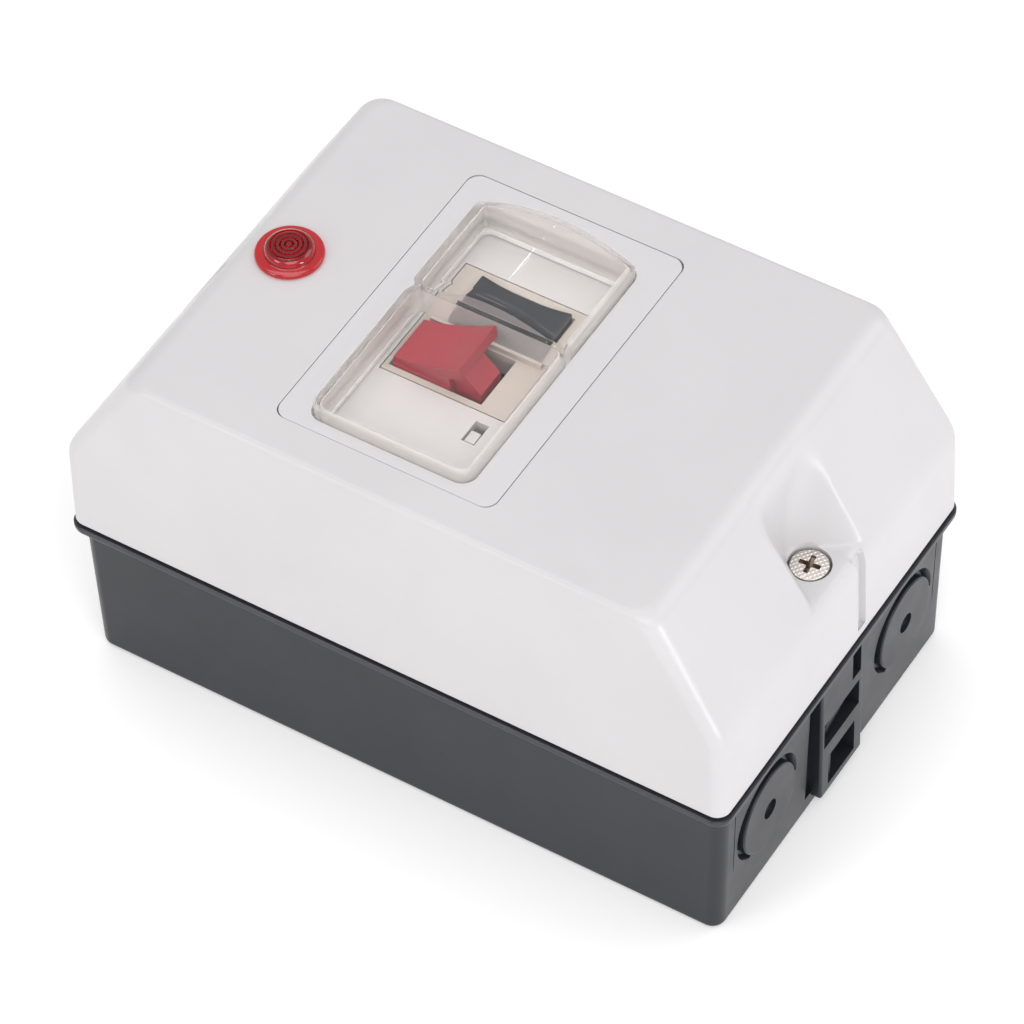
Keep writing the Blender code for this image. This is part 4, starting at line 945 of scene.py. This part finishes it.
def lamp_lens():
    """The red lens with rings in its top, a flange on the cover and a hollow foot."""
    low = TOP + 0.3
    x, y = LAMP
    outside = ((0, 2.75), (0.6, 2.8), (0.8, 2.35), (1.0, 2.75), (1.6, 2.8), (1.8, 2.35),
               (2.0, 2.75), (2.6, 2.75), (2.8, 2.3), (3.0, 2.7), (3.6, 2.65), (3.8, 2.2),
               (4.0, 2.6), (4.5, 2.4), (4.9, 2.0), (5.15, 1.4), (5.25, 1.0), (5.5, 0.92),
               (6.6, 0.9), (6.9, 0.72), (7.03, 0.4), (7.0, 0), (4.5, 0))
    foot = [(4.5, TOP - 5), (3.2, TOP - 5), (3.2, TOP), (0, TOP)]
    bm = bmesh.new()
    spin(bm, [(r, low + z) for r, z in outside] + foot, (x, y), 72)
    lens = body("lamp_lens_rings", bm)
    finish(lens, LENS, "cover", "lamp_lens", slot="lens_red", angle=50)
    # The flange and dome walls get the brighter copy of the red: painted light from the white cover
    # shining up through them.
    lens.data.materials.append(LENS_RIM_PAINTED_LIGHT)
    for polygon in lens.data.polygons:
        centre = polygon.center
        if sqrt((centre.x - x * MM) ** 2 + (centre.y - y * MM) ** 2) > PAINTED_LIGHT_RIM_R * MM:
            polygon.material_index = 1


# ---------------------------------------------------------------- window

def dome_outline(inset, foot):
    """The arched section of the dome as (y, z) points, drawn in by inset."""
    low, high = WINDOW_LOW.y + inset, WINDOW_HIGH.y - inset
    middle, half = (low + high) / 2, (high - low) / 2
    end, crown = DOME_END - inset, DOME_TOP - inset
    steps = 24
    points = [(low, foot), (high, foot)]
    for i in range(steps + 1):
        t = 1 - 2 * i / steps
        points.append((middle + half * t, end + (crown - end) * (1 - t * t)))
    return points


def clear_window():
    """The window: a low lobe over the lever and a dome over the button, in one piece."""
    low_x, low_y, high_x, high_y = WINDOW_LOW.x, WINDOW_LOW.y, WINDOW_HIGH.x, WINDOW_HIGH.y
    lobe = bmesh.new()
    stop = (low_x, low_y, SPLIT + 0.5, high_y)
    rings = [[(x, y, z) for x, y in rounded(*stop, STOP_CORNER, 10)]
             for z in (TOP - 4, STOP_TOP - 1.3)]
    for inset, drop in ((0.18, 0.8), (0.55, 0.35), (1.1, 0.08), (1.7, 0.0)):
        outline = rounded(stop[0] + inset, stop[1] + inset, stop[2] - inset * 0.7,
                          stop[3] - inset, STOP_CORNER - inset * 0.35, 10)
        rings.append([(x, y, STOP_TOP - drop) for x, y in outline])
    loft(lobe, rings)
    window = body("clear_window", lobe)
    dome = bmesh.new()
    # The dome is rounded at both ends: radius and number of steps.
    near, near_steps = 1.4, 5
    far, far_steps = 2.6, 7
    stations = []
    for i in range(near_steps + 1):
        a = pi / 2 * i / near_steps
        stations.append((SPLIT + near * (1 - cos(a)), near * (1 - sin(a))))
    for i in range(far_steps + 1):
        a = pi / 2 * (1 - i / far_steps)
        stations.append((high_x - far * (1 - cos(a)), far * (1 - sin(a))))
    loft(dome, [[(x, y, z) for y, z in dome_outline(0.1 + inset, TOP - 4.6)]
                for x, inset in stations])
    combine(window, body("dome", dome), "UNION")
    flange = bmesh.new()
    prism(flange, rounded(low_x - MEMBRANE_MARGIN, low_y - MEMBRANE_MARGIN,
                          high_x + MEMBRANE_MARGIN, high_y + MEMBRANE_MARGIN, 5),
          TOP - 5, TOP - 3.3)
    combine(window, body("flange", flange), "UNION")
    wall = WINDOW_WALL
    inside = bmesh.new()
    outline = rounded(low_x + wall, low_y + wall, SPLIT - 0.3, high_y - wall, 2.4)
    prism(inside, outline, TOP - 8, STOP_TOP - wall)
    inside_body = body("inside", inside)
    round_edges(inside_body, 0.8, 3, 60)
    combine(window, inside_body)
    hollow = bmesh.new()
    prism(hollow, dome_outline(wall, TOP - 8), SPLIT + 0.9, high_x - wall, "X")
    hollow_body = body("hollow", hollow)
    round_edges(hollow_body, 0.9, 3, 50)
    combine(window, hollow_body)
    finish(window, CLEAR, "cover", "window_membrane", slot="membrane_clear", angle=35)
    window.data.materials.append(WALL_PAINTED_LIGHT)
    # Steep walls get the hazier, beige copy of the clear plastic, painted light for walls seen
    # side-on, apart from the one between the lobe and the dome.
    for polygon in window.data.polygons:
        past = polygon.center.x / MM - SPLIT
        if abs(polygon.normal.z) < 0.86 and not 0.0 < past < SPLIT_WIDTH:
            polygon.material_index = 1


# ---------------------------------------------------------------- rounded copies of CAD shapes

def rounded_copies():
    """Pieces with the shape of their CAD node, some with rounded edges; the lever gets a foot."""
    rows = (("stop_lever", "red_lever", 0.4, RED, "stop_lever"),
            ("start_button", "black_button", 0.35, BLACK, "start_button"),
            ("test_slider", "test_slider_tip", 0.15, MASK_WHITE, "test_slider"),
            ("window_mask", "white_mask", 0.0, MASK_WHITE, "base"),
            ("breaker_front_housing", "front_housing", 0.0, IVORY, "base"),
            ("breaker_rear_housing", "rear_housing", 0.0, DARK, "base"),
            ("membrane_frame", "clamping_frame", 0.2, FRAME_WHITE, "cover"))
    for node, name, width, material, ride in rows:
        item = copy_of(node, name)
        if node == "stop_lever":
            foot = bmesh.new()
            box(foot, *LEVER_FOOT)
            combine(item, body("foot", foot), "UNION")
        if width:
            round_edges(item, width, 2, 40)
        finish(item, material, ride, node)


def return_coil():
    """The spring under the contacts, a copy of its CAD shape carried by the base."""
    coil = copy_of("return_spring", "return_coil")
    finish(coil, STEEL, "base", "return_spring")
    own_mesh(coil)


def paint_nodes():
    """Materials of the CAD nodes that nothing replaces."""
    paint = (
        (RUBBER, ("cover_gasket",)),
        (NICKEL, ("lamp_nut", "rail_screw", "line_terminal_screw", "load_terminal_screw",
                  "earth_screw")),
        (LAMP_BLACK, ("lamp_body",)),
        (GLASS, ("lamp_bulb",)),
        (ZINC, ("din_rail", "arc_chute")),
        (STEEL, ("stop_spring",)),
        (BLUE, ("setting_dial",)),
        (DARK, ("contact_carrier",)),
        (COPPER, ("contact_bridge", "line_contact", "load_contact")),
        (MASK_WHITE, ("trip_bar",)),
        (ENAMEL, ("trip_coil",)),
        (BRASS, ("bimetal", "line_terminal_clamp", "load_terminal_clamp", "earth_terminal")),
    )
    for name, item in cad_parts.items():
        for material, beginnings in paint:
            if name.startswith(beginnings):
                item.data.materials.clear()
                item.data.materials.append(material)


# ---------------------------------------------------------------- stage, lights, camera

FLOOR_GAP = 0.0003                                  # metres
LIGHTS = (
    # name, direction, distance and size in metres, power in watts, colour
    ("front_box", (-0.54, -0.42, 0.76), 1.7, 1.3, 9.5, (1.0, 1.0, 1.0)),
    ("side_box", (-0.745, 0.357, 0.53), 1.3, 0.50, 2.7, (1.0, 0.95, 0.955)),
    ("end_box", (0.54, -0.51, 0.655), 1.3, 0.80, 2.1, (1.0, 0.96, 0.97)),
    ("low_box", (-0.16, -0.98, 0.10), 1.3, 0.35, 3.4, (1.0, 1.0, 1.0)),
    ("top_box", (0.1, 0.2, 1.0), 1.3, 0.9, 3.2, (1.0, 1.0, 1.0)),
    ("window_box", (0.54, 0.33, 0.761), 1.3, 0.020, 0.035, (1.0, 1.0, 1.0)),
)
WORLD_STRENGTH = 0.60
# The camera fitted to the photograph: degrees, then millimetres
AZIMUTH, ELEVATION, ROLL = -56.658, 49.577, -2.366
TARGET = (27.121, 18.382, 0)
DISTANCE = 1237.49
FOCAL_LENGTH = 208.357
SENSOR = 36.0


def stage():
    """The pale floor."""
    bm = bmesh.new()
    bmesh.ops.create_grid(bm, x_segments=1, y_segments=1, size=3000)
    floor = body("floor", bm)
    floor.data.transform(Matrix.Scale(MM, 4))
    floor.location = (0, 0, cad_low.z - FLOOR_GAP)
    material, tree, shader = new_material("floor_pale")
    cloud = spread(tree, noise(tree, 2.0), 0.0, 1.0)
    tone = mixed(tree, cloud, (0.84, 0.84, 0.84), (0.87, 0.87, 0.87))
    tree.links.new(tone, shader.inputs["Base Color"])
    shader.inputs["Roughness"].default_value = 0.7
    shader.inputs["Specular IOR Level"].default_value = 0.2
    shader.inputs["Emission Color"].default_value = (1.0, 1.0, 1.0, 1.0)
    shader.inputs["Emission Strength"].default_value = 0.24
    floor.data.materials.append(material)


def soft_light(name, direction, distance, size, power, colour):
    """A round light that looks at the origin."""
    light = bpy.data.lights.new(name, "AREA")
    light.shape = "DISK"
    light.size = size
    light.energy = power
    light.color = colour
    item = bpy.data.objects.new(name, light)
    away = Vector(direction).normalized()
    item.location = away * distance
    item.rotation_euler = away.to_track_quat("Z", "Y").to_euler()
    SCENE.collection.objects.link(item)


def lights():
    """A white world and the soft lights."""
    world = bpy.data.worlds.new("studio")
    world.use_nodes = True
    sky = world.node_tree.nodes["Background"]
    sky.inputs["Color"].default_value = (1.0, 1.0, 1.0, 1.0)
    sky.inputs["Strength"].default_value = WORLD_STRENGTH
    SCENE.world = world
    for row in LIGHTS:
        soft_light(*row)


def camera():
    """A camera that looks at the target, turned about its line of sight by the roll."""
    azimuth, elevation, roll = radians(AZIMUTH), radians(ELEVATION), radians(ROLL)
    target = Vector(TARGET) * MM
    distance = DISTANCE * MM
    back = Vector((sin(azimuth) * cos(elevation), -cos(azimuth) * cos(elevation), sin(elevation)))
    right = (-back).cross(Vector((0, 0, 1))).normalized()
    up = right.cross(-back)
    side = cos(roll) * right + sin(roll) * up
    over = -sin(roll) * right + cos(roll) * up
    data = bpy.data.cameras.new("camera")
    data.lens = FOCAL_LENGTH
    data.sensor_width = SENSOR
    data.clip_end = 20.0
    item = bpy.data.objects.new("camera", data)
    turn = Matrix((side, over, back)).transposed().to_4x4()
    item.matrix_world = Matrix.Translation(target + back * distance) @ turn
    SCENE.collection.objects.link(item)
    SCENE.camera = item


paint_nodes()
cover_shell()
panel_plate()
base_shell()
cover_screws()
lamp_lens()
clear_window()
rounded_copies()
return_coil()
stage()
lights()
camera()
SCENE.view_settings.view_transform = "Standard"
